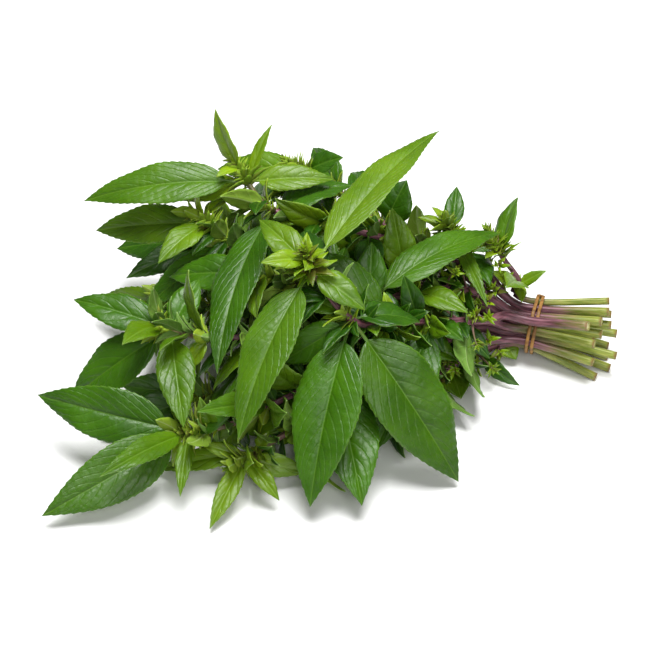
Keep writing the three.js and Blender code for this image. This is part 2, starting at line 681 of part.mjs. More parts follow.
// A stem is a six-sided rod along its centre line, with a short point at the tip.
function stemSolid(stem, line) {
  const rings = Math.ceil(line.length / STEM_STEP);
  const positions = [];
  const triangles = [];
  for (let i = 0; i <= rings; i++) {
    const distance = line.length * i / rings;
    const { point, side, over } = lineAt(line, distance);
    const radius = stemRadius(stem, line, distance);
    for (let j = 0; j < STEM_SIDES; j++) {
      const angle = 2 * Math.PI * j / STEM_SIDES;
      positions.push(point.clone().addScaledVector(swung(side, over, angle), radius));
      const next = (j + 1) % STEM_SIDES;
      if (i > 0) {
        const here = i * STEM_SIDES;
        const before = here - STEM_SIDES;
        triangles.push([before + j, before + next, here + next], [before + j, here + next, here + j]);
      }
    }
  }
  const last = rings * STEM_SIDES;
  const end = lineAt(line, line.length);
  positions.push(end.point.clone().addScaledVector(end.direction, 3 * STEM_TIP_RADIUS));
  for (let j = 0; j < STEM_SIDES; j++) {
    const next = (j + 1) % STEM_SIDES;
    triangles.push([last + j, last + next, positions.length - 1]);
    if (j > 0 && j < STEM_SIDES - 1) {
      triangles.push([0, j + 1, j]);
    }
  }
  return solidFrom(positions, triangles);
}

// ---------------------------------------------------------------- the rubber band

// The outside of the held stems in a direction across the bundle, by the furthest of them.
function bundleOutside(x, y) {
  const reach = ({ slot, radius }) => slot[0] * x + slot[1] * y + radius;
  const held = STEMS.filter((stem) => stem.held !== false);
  const furthest = held.reduce((a, b) => (reach(b) > reach(a) ? b : a));
  const gap = furthest.radius + BAND_GAP + BAND_THICKNESS / 2;
  return [furthest.slot[0] + gap * x, furthest.slot[1] + gap * y];
}

// The band goes round twice and closes. The turns lie side by side and change places behind the bundle,
// where the first rises over the second.
function bandSolid() {
  const positions = [];
  const triangles = [];
  for (let i = 0; i < BAND_STEPS; i++) {
    const share = i / BAND_STEPS;
    const swing = Math.cos(2 * Math.PI * share);
    const offset = BAND_OFFSET * swing / Math.hypot(swing, BAND_CHANGE);
    const firstTurn = share < 0.5;
    const rise = firstTurn ? Math.sqrt(Math.max(0, BAND_CROSSING ** 2 - (2 * offset) ** 2)) : 0;
    const angle = 4 * Math.PI * share + Math.PI;
    const [x, y] = [Math.cos(angle), Math.sin(angle)];
    const [across, up] = bundleOutside(x, y);
    const corners = [[-1, -1], [1, -1], [1, 1], [-1, 1]];
    corners.forEach(([wide, thick], j) => {
      const outward = rise + thick * BAND_THICKNESS / 2;
      const along = offset + wide * BAND_WIDTH / 2;
      positions.push(bundlePlace([across + outward * x, up + outward * y], along, 1));
      const [here, before] = [4 * i, 4 * ((i + BAND_STEPS - 1) % BAND_STEPS)];
      const next = (j + 1) % 4;
      triangles.push([before + j, before + next, here + next], [before + j, here + next, here + j]);
    });
  }
  return solidFrom(positions, triangles);
}

// ---------------------------------------------------------------- the bunch

// Stems stand in the room first, then the leaves whose place is given, then the rosettes, the leaves that
// grow by rule, and the shoots.
function stemSamples(stem, line) {
  const samples = [];
  for (let distance = 0; distance < line.length; distance += SAMPLE_STEP) {
    const { point, side, over } = lineAt(line, distance);
    const radius = stemRadius(stem, line, distance);
    for (let j = 0; j < STEM_SIDES; j++) {
      const angle = 2 * Math.PI * j / STEM_SIDES;
      samples.push(point.clone().addScaledVector(swung(side, over, angle), radius));
    }
  }
  return samples;
}

const lines = STEMS.map(centreLine);
const grown = STEMS.map(() => []);

function grow(leavesOf) {
  STEMS.forEach((stem, i) => {
    for (const leaf of leavesOf(stem, lines[i], i + 1)) {
      const settled = settle(leaf, i + 1);
      if (settled !== null) {
        grown[i].push(settled);
      }
    }
  });
}

STEMS.forEach((stem, i) => markCells(stemSamples(stem, lines[i]), i + 1));
grow(givenLeaves);
grow(rosetteLeaves);
grow(ruleLeaves);
grow(shootLeaves);

const belowTable = new THREE.BoxGeometry(TABLE_SIDE, TABLE_SIDE, TABLE_DEPTH);
belowTable.translate(0, 0, -TABLE_DEPTH / 2);
belowTable.deleteAttribute("normal");
belowTable.deleteAttribute("uv");

function meshOf(solid, name, material) {
  const { vertProperties, triVerts } = solid.getMesh();
  const geometry = new THREE.BufferGeometry();
  geometry.setAttribute("position", new THREE.BufferAttribute(vertProperties, 3));
  geometry.setIndex(new THREE.BufferAttribute(triVerts, 1));
  geometry.computeVertexNormals();
  const mesh = new THREE.Mesh(geometry, material);
  mesh.name = name;
  return mesh;
}

// The outer surface alone: a hollow that the fused blades close off is filled, and a scrap is dropped.
function outerBody(solid) {
  return solid.decompose().reduce((a, b) => (b.volume() > a.volume() ? b : a));
}

const leafGreen = new THREE.MeshStandardMaterial({ color: "#3f7a22", roughness: 0.42, metalness: 0 });
const tanRubber = new THREE.MeshStandardMaterial({ color: "#b58b4e", roughness: 0.6, metalness: 0 });

const object = new THREE.Group();
const cutAway = solidOf(belowTable);
STEMS.forEach((stem, i) => {
  const blades = grown[i].map((leaf) => bladeSolid(leaf));
  const whole = wasm.Manifold.union([stemSolid(stem, lines[i]), ...blades]);
  object.add(meshOf(outerBody(whole.subtract(cutAway)), stem.name, leafGreen));
});
object.add(meshOf(bandSolid(), "rubber_band", tanRubber));
object.position.set(-MIDDLE.x, -MIDDLE.y, 0);

export default object;
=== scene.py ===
# %% [markdown]
# # A bunch of Thai basil
# Sixteen leafy stems lie on a table. A rubber band goes round fifteen of them twice, and the sixteenth
# lies over the band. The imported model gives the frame: where every stem, leaf and the band are, as plain
# solids. This lesson grows the same stems from the same measures, and gives them the thin toothed blades,
# veins, squarish purple stems, bud clusters and finishes.

import bpy
import numpy as np
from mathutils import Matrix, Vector


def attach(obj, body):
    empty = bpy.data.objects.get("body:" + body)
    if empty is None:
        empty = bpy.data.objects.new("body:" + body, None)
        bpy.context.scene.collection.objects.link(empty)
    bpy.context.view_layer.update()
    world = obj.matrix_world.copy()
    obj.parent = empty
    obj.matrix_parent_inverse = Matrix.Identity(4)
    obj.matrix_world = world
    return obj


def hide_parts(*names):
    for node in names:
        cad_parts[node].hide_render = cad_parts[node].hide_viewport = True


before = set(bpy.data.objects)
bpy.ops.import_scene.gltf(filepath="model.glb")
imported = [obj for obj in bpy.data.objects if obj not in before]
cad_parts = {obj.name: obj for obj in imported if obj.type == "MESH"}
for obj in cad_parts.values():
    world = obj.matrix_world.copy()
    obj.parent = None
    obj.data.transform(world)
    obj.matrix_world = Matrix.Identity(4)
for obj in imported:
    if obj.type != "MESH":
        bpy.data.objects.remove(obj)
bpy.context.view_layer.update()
print("nodes in the frame:", len(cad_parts))

# %% [markdown]
# ## Measures
# Everything is worked out in millimetres, with X along the bunch and the cut ends at +X, and put into
# metres at the very end. The sizes are those of the solids, so every fine leaf lies where its solid leaf
# lies. One function does the change of unit for every piece.

# %% Units and small vector tools
MIDDLE = np.array([2.5, 3.7, 0.0])
UP = np.array([0.0, 0.0, 1.0])


def metres(points):
    """Millimetres from the working origin to metres from the middle of the bunch: subtract, then divide by
    1000."""
    return (np.asarray(points) - MIDDLE) / 1000


def unit(vectors):
    """Each vector divided by its own length."""
    return vectors / np.linalg.norm(vectors, axis=-1, keepdims=True)


def turned(vectors, axis, angle):
    """Vectors turned about a unit axis: the part along the axis stays, the rest goes round by the angle."""
    angle = np.asarray(angle)[..., None]
    along = np.sum(vectors * axis, axis=-1, keepdims=True) * axis
    return vectors * np.cos(angle) + np.cross(axis, vectors) * np.sin(angle) + along * (1 - np.cos(angle))


def smooth(low, high, value):
    """0 below low, 1 above high, and an S-shaped rise between them."""
    share = np.clip((value - low) / (high - low), 0, 1)
    return share * share * (3 - 2 * share)


def scatter(i, j):
    """A repeatable number from 0 to 1 for leaf j of stem i: the fraction of a large sine. Every rule starts
    its j at a number of its own."""
    wave = np.sin(i * 12.9898 + j * 78.233) * 43758.5453
    return wave - np.floor(wave)


print("the origin is under", MIDDLE, "mm")

# %% [markdown]
# ## The stems, one by one
# A bunch has no pattern that a rule could find, so each stem is listed one by one: its slot in the bundle,
# how far it sticks out past the band, the points that it passes on its way to the tip, and the distances
# back from the tip where leaves grow in pairs. The stem that isn't held lies over the band. The leaves that
# show most are given by the place of their tips. All others follow.

# %% The stems' table


def leaf(node, tip, width, bend, fresh=0.0, hint=(0, -0.45, 0.9)):
    """A listed leaf: the node that it grows from, its tip, its width, its bend, how young and pale it is,
    and the way that its upper side turns, which for most leaves is up and a little to the front."""
    tip, hint = np.array(tip, float), np.array(hint)
    return dict(node=node, tip=tip, width=width, bend=bend, fresh=fresh, hint=hint)


STEMS = [
    dict(
        name="leafy_stem_front_top", slot=(-9.8, 9.6), beyond=24, radius=2.1, held=False,
        path=[(66, 5, 31), (43, -4, 38), (24, -19, 50), (8, -32, 62), (-8, -22, 79), (-10, -24, 88)],
        nodes=[9, 35, 62, 88], turn=30,
        leaves=[
            leaf(0, (-37, -76, 38), 22, 0.7, fresh=0.1, hint=(-0.45, -0.5, 0.75)),
            leaf(0, (46, 52, 98), 20, 0.5, fresh=0.3, hint=(-0.45, -0.3, 0.85)),
            leaf(0, (12, -34, 67), 12, 0.5, fresh=0.25),
            leaf(0, (-30, 4, 86), 13, 0.6, fresh=0.3),
            leaf(1, (52, -65, 3), 31, 0.5, fresh=0.05),
            leaf(1, (-9, -85, 9), 28, 0.6, hint=(0.25, -0.5, 0.85)),
            leaf(1, (35, -24, 51), 18, 0.8),
            leaf(1, (-22, -33, 40), 15, 0.6),
            leaf(3, (18, -52, 8), 24, 0.7),
            leaf(3, (55, -19, 40), 9, 0.6),
        ],
    ),
    dict(
        name="leafy_stem_back_top", slot=(2.6, 6.75), beyond=31, radius=1.95,
        path=[(62, 33, 37), (28, 31, 54), (0, 30, 64), (-27, 34, 70), (-41, 49, 82)],
        nodes=[3, 9, 26, 56, 84], turn=70,
        leaves=[
            leaf(0, (-50, 56, 106), 11, 0.5, fresh=0.7, hint=(-0.75, -0.6, 0.4)),
            leaf(1, (-108, 42, 68), 20, 0.8, fresh=0.1),
            leaf(1, (1, 44, 78), 13, 0.6, fresh=0.35),
            leaf(1, (-69, 44, 70), 12, 0.6, fresh=0.6),
            leaf(2, (-47, -42, 42), 22, 0.7, hint=(-0.5, -0.45, 0.75)),
            leaf(2, (9, 48, 72), 20, 0.6),
            leaf(1, (-26, 55, 99), 6, 0.4, fresh=0.5, hint=(-0.5, -0.6, 0.4)),
            leaf(2, (-12, 56, 95), 9, 0.4, fresh=0.3, hint=(-0.5, -0.6, 0.5)),
        ],
    ),
    dict(
        name="leafy_stem_middle_top", slot=(-2.6, 6.75), beyond=29, radius=1.95,
        path=[(62, 20, 35), (38, 10, 44), (15, -6, 50), (-12, 0, 56), (-34, 6, 56)],
        nodes=[5, 22, 52, 80, 104], turn=10,
        leaves=[
            leaf(2, (74, 36, 55), 19, 0.9, fresh=0.05, hint=(-0.35, -0.3, 0.9)),
            leaf(2, (17, 12, 68), 14, 0.6),
            leaf(1, (-30, -42, 42), 20, 0.6),
            leaf(0, (-72, -4, 60), 17, 0.6),
            leaf(4, (40, 17, 44), 8, 0.5, fresh=0.1),
            leaf(4, (59, 4, 24), 8, 0.6, fresh=0.2),
        ],
    ),
    dict(
        name="leafy_stem_back_upper", slot=(2.6, 2.25), beyond=33, radius=1.85,
        path=[(62, 38, 28), (44, 42, 38), (24, 46, 52), (2, 58, 62), (-16, 66, 70)],
        nodes=[5, 26, 48, 74], turn=50,
        leaves=[
            leaf(0, (-52, 78, 60), 16, 0.5, fresh=0.2),
            leaf(1, (28, 88, 42), 21, 0.6),
            leaf(1, (-14, 90, 62), 15, 0.5),
            leaf(2, (33, 52, 72), 18, 0.6),
            leaf(0, (5, 58, 80), 12, 0.5),
        ],
    ),
    dict(
        name="leafy_stem_left_upper", slot=(-2.6, 2.25), beyond=30, radius=1.95,
        path=[(62, 25, 27), (34, 20, 38), (2, 14, 46), (-32, 22, 52), (-58, 38, 63)],
        nodes=[5, 20, 44, 72, 100], turn=0,
        leaves=[
            leaf(1, (-83, 1, 42), 15, 0.6),
            leaf(0, (-105, 46, 49), 18, 0.5, fresh=0.2, hint=(0, -0.6, 0.8)),
            leaf(4, (26, 34, 70), 15, 0.5, fresh=0.3),
        ],
    ),
    dict(
        name="leafy_stem_left_middle", slot=(-7.8, 2.25), beyond=28, radius=1.95,
        path=[(64, 14, 24), (46, 4, 28), (14, -12, 36), (-20, -20, 44), (-52, -24, 46), (-76, -13, 44)],
        nodes=[4, 10, 30, 58, 86, 116], turn=40,
        leaves=[
            leaf(1, (-109, -4, 50), 16, 0.5),
            leaf(1, (-115, -25, 16), 22, 0.5),
            leaf(1, (-60, -60, 29), 16, 0.5, fresh=0.15),
            leaf(1, (-56, 2, 56), 13, 0.5),
            leaf(3, (-18, -57, 34), 9, 0.5),
            leaf(5, (57, -5, 28), 12, 0.4, fresh=0.15),
        ],
    ),
    dict(
        name="leafy_stem_left_low", slot=(-5.2, -2.25), beyond=38, radius=1.85,
        path=[(64, 17, 17), (44, 2, 19), (12, -18, 26), (-16, -38, 27), (-42, -52, 23), (-62, -54, 20)],
        nodes=[3, 14, 40, 70, 98], turn=20,
        leaves=[
            leaf(0, (-123, -35, 24), 23, 0.5, hint=(0, -0.8, 0.6)),
            leaf(0, (-39, -47, 33), 12, 0.5),
            leaf(0, (-116, -88, 7), 23, 0.4, fresh=0.05, hint=(-0.05, -0.3, 0.95)),
            leaf(0, (-91, -90, 26), 11, 0.5, fresh=0.15),
            leaf(0, (-61, -83, 18), 7, 0.6, fresh=0.25),
            leaf(2, (-56, -66, 30), 12, 0.5, fresh=0.1),
        ],
    ),
    dict(
        name="leafy_stem_front_low", slot=(-10.4, -2.25), beyond=29, radius=1.85,
        path=[(66, 6, 16), (48, -8, 14), (20, -30, 16), (-8, -44, 18), (-26, -56, 16), (-38, -63, 13)],
        nodes=[3, 8, 30, 58, 90], turn=60,
        leaves=[
            leaf(0, (-49, -91, 3), 9, 0.5, fresh=0.45),
            leaf(0, (-22, -78, 4), 8, 0.9, fresh=0.45),
            leaf(0, (-10, -64, 8), 10, 0.4, fresh=0.45),
            leaf(1, (-71, -71, 3), 10, 0.5, fresh=0.3),
            leaf(0, (-12, -69, 3), 9, 0.6, fresh=0.4),
            leaf(1, (-26, -55, 22), 6, 0.5, fresh=0.6),
            leaf(0, (-52, -59, 22), 7, 0.5, fresh=0.5),
        ],
    ),
    dict(
        name="leafy_stem_back_left", slot=(2.6, -6.75), beyond=34, radius=1.85,
        path=[(62, 38, 14), (34, 46, 24), (4, 48, 34), (-26, 52, 38), (-60, 56, 34)],
        nodes=[5, 22, 46, 72, 98], turn=0,
        leaves=[
            leaf(0, (-100, 68, 22), 20, 0.5),
            leaf(0, (-92, 36, 30), 15, 0.5),
            leaf(1, (-58, 90, 18), 19, 0.6),
        ],
    ),
    dict(
        name="leafy_stem_back_middle", slot=(5.2, -2.25), beyond=36, radius=1.85,
        path=[(62, 45, 23), (46, 50, 32), (22, 58, 42), (-4, 66, 50), (-22, 70, 56)],
        nodes=[5, 22, 46, 72], turn=45,
        leaves=[
            leaf(0, (-40, 92, 34), 18, 0.6),
            leaf(1, (4, 95, 14), 22, 0.7),
            leaf(2, (40, 88, 14), 20, 0.7),
            leaf(3, (74, 68, 12), 17, 0.6),
        ],
    ),
    dict(
        name="leafy_stem_back_low", slot=(7.8, -6.75), beyond=33, radius=1.75,
        path=[(64, 47, 14), (44, 54, 17), (18, 62, 20), (-14, 68, 22), (-40, 66, 24)],
        nodes=[5, 24, 48, 74], turn=20,
        leaves=[
            leaf(0, (-82, 76, 1.5), 20, 0.5),
            leaf(0, (-60, 94, 5), 16, 0.5),
            leaf(1, (-32, 98, 5), 17, 0.6),
            leaf(2, (14, 96, 1.5), 17, 0.6),
            leaf(3, (56, 84, 1.5), 17, 0.6),
        ],
    ),
    dict(
        name="leafy_stem_near_band_upper", slot=(7.8, 2.25), beyond=32, radius=1.75,
        path=[(70, 38, 32), (57, 40, 44), (52, 42, 54)],
        nodes=[3, 12], turn=15,
        leaves=[
            leaf(0, (56, 60, 63), 9, 0.5),
            leaf(1, (68, 17, 34), 16, 0.5),
            leaf(0, (66, -1, 44), 7, 0.5, fresh=0.2),
        ],
    ),
    dict(
        name="leafy_stem_near_band_back", slot=(7.8, 6.75), beyond=30, radius=1.75,
        path=[(83, 31, 33), (76, 35, 42), (71, 38, 50)],
        nodes=[3, 9, 27], turn=80,
        leaves=[
            leaf(1, (83, 56, 60), 12, 0.7, fresh=0.1, hint=(-0.7, -0.5, 0.3)),
            leaf(2, (95, 31, 38), 6, 0.4, fresh=0.4),
        ],
    ),
    dict(
        name="leafy_stem_left_inner", slot=(0, -2.25), beyond=27, radius=1.85,
        path=[(62, 29, 20), (30, 24, 26), (-10, 14, 30), (-46, 12, 32), (-74, 20, 32)],
        nodes=[5, 24, 50, 78, 106], turn=35,
        leaves=[
            leaf(0, (-114, 20, 12), 13, 0.5, fresh=0.25),
            leaf(0, (-104, -2, 14), 18, 0.5),
        ],
    ),
    dict(
        name="leafy_stem_front_short", slot=(-7.8, -6.75), beyond=31, radius=1.75,
        path=[(70, 13, 8), (52, 4, 7), (36, -8, 8), (22, -18, 8)],
        nodes=[4, 18, 37, 54, 66], turn=0,
        leaves=[
            leaf(2, (50, -16, 4), 15, 0.4, fresh=0.3, hint=(0, -0.5, 0.85)),
            leaf(2, (34, 4, 28), 13, 0.6),
            leaf(3, (83, -6, 5), 8, 1.3, hint=(-0.5, -0.6, 0.4)),
            leaf(4, (83, 9, 7), 8, 0.5, fresh=0.5),
        ],
    ),
    dict(
        name="leafy_stem_floor", slot=(-2.6, -6.75), beyond=36, radius=1.85,
        path=[(62, 24, 11), (36, 10, 10), (4, -8, 11), (-30, -22, 12), (-60, -24, 13)],
        nodes=[5, 24, 50, 78, 106], turn=45,
        leaves=[
            leaf(0, (-98, -38, 5), 18, 0.4),
            leaf(0, (-92, -8, 5), 16, 0.4),
        ],
    ),
]
print("stems:", len(STEMS), "and leaves by hand:", sum(len(stem["leaves"]) for stem in STEMS))

# %% [markdown]
# ## Centre lines
# A stem could be a bezier curve object, but the leaves need its exact points and directions. So the centre
# line is a Catmull-Rom curve through the points of the table, worked out as one array, with the distance
# from the cut end kept beside it. Near the band all stems run side by side in a bundle, each in its slot.

# %% The bundle and the centre lines
BAND_CENTRE = np.array([91, 21, 15.4])
BUNDLE_AXIS = unit(np.array([31.0, -9.0, -1.0]))
BUNDLE_ACROSS = unit(np.cross(UP, BUNDLE_AXIS))
BUNDLE_UP = np.cross(BUNDLE_AXIS, BUNDLE_ACROSS)
CUT_SPREAD_ACROSS = 1.45
CUT_SPREAD_UP = 1.6
CUT_RISE = 1.5
FAN_BACK = 12
FAN_SPREAD = 1.15
LOWEST_ROW = -6
FLAT_DEPTH = 0.5
PATH_STEPS = 24


def bundle_place(across, up, along, spread):
    """The middle of the band, plus along times its axis, plus the slot times the spread across and up."""
    across, up, along = (np.asarray(value, float)[..., None] for value in (across, up, along))
    return BAND_CENTRE + BUNDLE_AXIS * along + BUNDLE_ACROSS * across * spread + BUNDLE_UP * up * spread


def centre_line(stem):
    """A uniform Catmull-Rom curve: each leg is a cubic whose end slopes are half the step between
    neighbours."""
    slot = stem["slot"]
    cut_slot = (slot[0] * CUT_SPREAD_ACROSS, slot[1] * CUT_SPREAD_UP + CUT_RISE)
    cut_end = bundle_place(*cut_slot, stem["beyond"], 1)
    if slot[1] < LOWEST_ROW:
        cut_end[2] = stem["radius"] * np.cos(np.pi / 6) - FLAT_DEPTH
    held = bundle_place(*slot, 0, 1)
    fanned = bundle_place(*slot, -FAN_BACK, FAN_SPREAD)
    places = np.array([cut_end, held, fanned, *stem["path"]])
    guides = np.vstack([2 * places[0] - places[1], places, 2 * places[-1] - places[-2]])
    legs = len(places) - 1
    share = np.linspace(0, legs, legs * PATH_STEPS + 1)
    leg = np.minimum(share.astype(int), legs - 1)
    t = (share - leg)[:, None]
    before, start, end, after = (guides[leg + i] for i in range(4))
    leave = (end - before) / 2
    arrive = (after - start) / 2
    points = start + leave * t
    points = points + (3 * (end - start) - 2 * leave - arrive) * t**2
    points = points + (2 * (start - end) + leave + arrive) * t**3
    along = np.concatenate([[0], np.cumsum(np.linalg.norm(np.diff(points, axis=0), axis=1))])
    return dict(points=points, along=along, length=along[-1])


def with_sides(point, direction):
    """A point and a direction, with the level side of that direction and its upper side."""
    side = unit(np.cross(UP, direction))
    return point, direction, side, np.cross(direction, side)


def line_at(line, distance):
    """Point, direction, side and upper side of a centre line, at distances from the cut end."""
    points, along = line["points"], line["along"]
    i = np.clip(np.searchsorted(along, distance), 1, len(points) - 1)
    share = ((distance - along[i - 1]) / (along[i] - along[i - 1]))[..., None]
    point = points[i - 1] * (1 - share) + points[i] * share
    return with_sides(point, unit(points[i] - points[i - 1]))


lines = [centre_line(stem) for stem in STEMS]
print("stem lengths in mm:", [round(float(line["length"])) for line in lines])

# %% [markdown]
# ## The shape of a leaf
# A basil leaf is a pointed oval on a short stalk. Its midrib bends in an arc, the two halves are folded up
# along it, and the margins turn down again and wave. A flat card with a picture of a leaf would look thin
# from the side, so the blade is a surface of two parameters: s from root to tip, and w from -1 to 1
# across.

# %% The leaf formula
PETIOLE_SHARE = 0.13
PETIOLE_HALF_WIDTH = 0.8
BLADE_BASE = 0.62
BLADE_POINT = 1.05
TOOTH_DEPTH = 0.05
FOLD = 0.34
CURL = 0.24
RIPPLE = 0.06


def blade_share(s):
    """How far along the blade s is: 0 where the stalk ends, 1 at the tip."""
    return np.clip((s - PETIOLE_SHARE) / (1 - PETIOLE_SHARE), 0, 1)


def half_width(width, s, stalk):
    """Half the width: t^0.62 times (1 - t)^1.05, scaled to its widest place, and no less than the stalk
    tapered to nothing at the tip."""
    t = blade_share(s)
    widest = BLADE_BASE / (BLADE_BASE + BLADE_POINT)
    peak = widest**BLADE_BASE * (1 - widest) ** BLADE_POINT
    blade = width / 2 * t**BLADE_BASE * (1 - t) ** BLADE_POINT / peak
    return np.where(s <= PETIOLE_SHARE, stalk, np.maximum(blade, stalk * (1 - t)))


def leaf_axes(chord, hint, bend):
    """The axes of a leaf: its direction at the root, its upper side there, and across. The chord halves
    the bend."""
    forward = unit(chord)
    normal = unit(hint - np.sum(hint * forward, axis=-1, keepdims=True) * forward)
    across = np.cross(normal, forward)
    start = forward * np.cos(bend / 2) + normal * np.sin(bend / 2)
    rise = normal * np.cos(bend / 2) - forward * np.sin(bend / 2)
    return np.stack([start, rise, across], axis=-2)


def leaf_length(found):
    """The length of the midrib: the straight way to the tip times half the bend over its sine."""
    half = found["bend"] / 2
    return np.linalg.norm(found["tip"] - found["root"]) * half / np.sin(half)


def leaf_places(length, bend, s, w, half, lift):
    """Places in the leaf's own axes: an arc of the given bend, w times the half width across, and a lift
    along the upper side of the arc."""
    angle = bend * s
    radius = length / bend
    forward = np.sin(angle) * (radius + lift)
    rise = np.cos(angle) * (radius + lift) - radius
    return np.stack([forward, rise, w * half], axis=-1)


def leaf_lift(half, s, w):
    """Half the width times the fold |w|, less the curl w^2, plus a ripple that runs along the margins."""
    return half * (FOLD * np.abs(w) - CURL * w**2 + RIPPLE * w**2 * np.sin(6 * np.pi * s + 2 * w))


s = np.linspace(0, 1, 6)
print("half width of a 30 mm wide leaf:", np.round(half_width(30, s, PETIOLE_HALF_WIDTH), 1))

# %% [markdown]
# ## Room for every leaf
# Leaves of a real bunch push each other aside. Here each leaf marks the small cells that it fills, and the
# next leaf is laid in the first free way: lifted, swung or rolled a little, and shrunk if it must be. The
# stems mark their own cells before any leaf. A physics run would do the same more slowly, and would not
# come out alike each time.

# %% Cells and settling
CELL = 1.6
ROOM_LOW = np.array([-150, -120, -4])
ROOM_CELLS = np.array([200, 150, 82])
SAMPLE_STEP = 1.1
ROOT_REACH = 10
REACH_LOW = np.array([-127, -94, 0.85])
REACH_HIGH = np.array([128, 99, 112])
MOUND_CENTRE = np.array([-18, 0, 0])
MOUND_RADII = np.array([110, 92, 98])
SHARED = -1
SHIFT_STEPS = np.radians([6, 9, 30])
SHARES = [1, 0.85, 0.7, 0.55]

room = np.zeros(ROOM_CELLS.prod(), np.int16)
tight_room = np.zeros(ROOM_CELLS.prod(), np.int16)
strides = np.array([ROOM_CELLS[1] * ROOM_CELLS[2], ROOM_CELLS[2], 1])
near = np.array([-1, 0, 1])
around = (near[:, None, None] * strides[0] + near[:, None] * strides[1] + near).ravel()
touching = np.concatenate([[0], strides, -strides])


def cell_of(points):
    """The number of the cell that holds each point."""
    return np.floor((points - ROOM_LOW) / CELL).astype(int) @ strides


def mark_cells(points, owner):
    """Gives the cells round the points to an owner, or to nobody alone if another owner has them too. The
    tight room takes only the cells that touch a point's own cell by a face."""
    for cells_of_room, reached in ((room, around), (tight_room, touching)):
        cells = np.unique(cell_of(points)[:, None] + reached)
        free_or_own = (cells_of_room[cells] == 0) | (cells_of_room[cells] == owner)
        cells_of_room[cells] = np.where(free_or_own, owner, SHARED)


def clear(points, owner, root):
    """True for each point within reach that is in a free cell, or in one of its own stem's cells close to
    the root."""
    inside = np.all((points >= REACH_LOW) & (points <= REACH_HIGH), axis=-1)
    found = room[np.where(inside, cell_of(np.clip(points, REACH_LOW, REACH_HIGH)), 0)]
    near_root = np.linalg.norm(points - root, axis=-1) < ROOT_REACH
    return inside & ((found == 0) | ((found == owner) & near_root))


def shifts(lifts, swings, rolls):
    """All shifts of lift, swing and roll, the smallest first."""
    ways = np.array([(lift, swing, roll) for lift in lifts for swing in swings for roll in rolls])
    cost = np.abs(ways) @ np.array([2, 3, 4])
    return ways[np.argsort(cost, kind="stable")]


SMALL_SHIFTS = shifts([0, 1, -1, 2, -2, 3, -3], [0, 1, -1, 2, -2, 3, -3], [0, 1, -1])
LARGE_SHIFTS = shifts([0, 1, -1, 2, -2, 3, 4, 6], [0, 1, -1, 2, -2, 3, -3, 5, -5], [0, 1, -1, 2, -2])


def leaf_samples(found, share):
    """Sample places of a leaf in its own axes, closer together than the cells are wide."""
    length = leaf_length(found) * share
    width = found["width"] * share
    rows = int(np.ceil(length / SAMPLE_STEP))
    columns = int(np.ceil(width * (1 + TOOTH_DEPTH) / SAMPLE_STEP))
    sideways = 2 * np.arange(columns + 1) / columns - 1
    s, w = np.meshgrid(np.arange(1, rows + 1) / rows, sideways, indexing="ij")
    half = half_width(width, s, PETIOLE_HALF_WIDTH) * (1 + TOOTH_DEPTH)
    return leaf_places(length, found["bend"], s, w, half, leaf_lift(half, s, w)).reshape(-1, 3)


def settle(found, owner):
    """The first clear way to lay a leaf: every shift is tried on a few samples at once, then, in order, on
    all. A leaf by rule has to end inside the mound, which is half an ellipsoid."""
    ways = SMALL_SHIFTS if found["given"] else LARGE_SHIFTS
    root = found["root"]
    chord = found["tip"] - root
    side = unit(np.cross(chord, UP))
    lift, swing, roll = (ways * SHIFT_STEPS).T
    chords = turned(turned(chord, side, lift), UP, swing)
    hints = turned(found["hint"], unit(chords), roll)
    axes = leaf_axes(chords, hints, found["bend"])
    for share in SHARES:
        samples = leaf_samples(found, share)
        open_way = clear(root + samples[::13] @ axes, owner, root).all(axis=1)
        if not found["given"]:
            tips = (root + chords * share - MOUND_CENTRE) / MOUND_RADII
            open_way &= np.linalg.norm(tips, axis=1) < found.get("reach", 1)
        for way in np.flatnonzero(open_way):
            points = root + samples @ axes[way]
            if clear(points, owner, root).all():
                mark_cells(points, owner)
                tip = root + chords[way] * share
                return dict(found, tip=tip, width=found["width"] * share, hint=hints[way])
    return None


print("cells in the room:", len(room), "and ways to lay a leaf:", len(LARGE_SHIFTS))

# %% [markdown]
# ## What grows where
# Basil leaves stand in opposite pairs, each pair turned by a right angle from the one below. A tip ends in
# a rosette of young leaves, and a shoot starts in the axil above each leaf. The listed leaves settle
# first, then the rosettes, the remaining pairs and the shoots, in the same order as in the solids, so that
# all find the same room.

# %% Leaves of the solids
YOUNG_LENGTH = 26
OLD_LENGTH = 66
OLD_AT = 70
LENGTH_SCATTER = 0.12
WIDTH_SHARE = 0.42
LEAF_ANGLE = np.radians(58)
LEAF_SAG = 0.18
LEAF_BEND = 0.7
ROSETTE_BLADES = 3
ROSETTE_LENGTH = 16
ROSETTE_STEP = 1.6
SHOOT_LENGTH = 30
AXIL_RISE = 2
STEM_TIP_RADIUS = 0.9
STEM_TAPER = 0.6


def stem_radius(stem, line, distance):
    """From the full radius at the cut end to 0.9 mm at the tip, by the power 0.6 of the share that is
    left."""
    left = np.maximum(0, 1 - distance / line["length"])
    return STEM_TIP_RADIUS + (stem["radius"] - STEM_TIP_RADIUS) * left**STEM_TAPER


def outward(place, turn):
    """The direction away from a stem, a turn round it from its side."""
    return place[2] * np.cos(turn) + place[3] * np.sin(turn)


def small_leaf(place, turn, angle, length, **more):
    """A young leaf at an angle to the stem, with its upper side towards the tip of the stem."""
    away = outward(place, turn)
    direction = place[1] * np.cos(angle) + away * np.sin(angle)
    return dict(
        root=place[0], tip=place[0] + direction * length, width=WIDTH_SHARE * length, bend=LEAF_BEND,
        hint=place[1] - 0.2 * away, given=False, **more,
    )


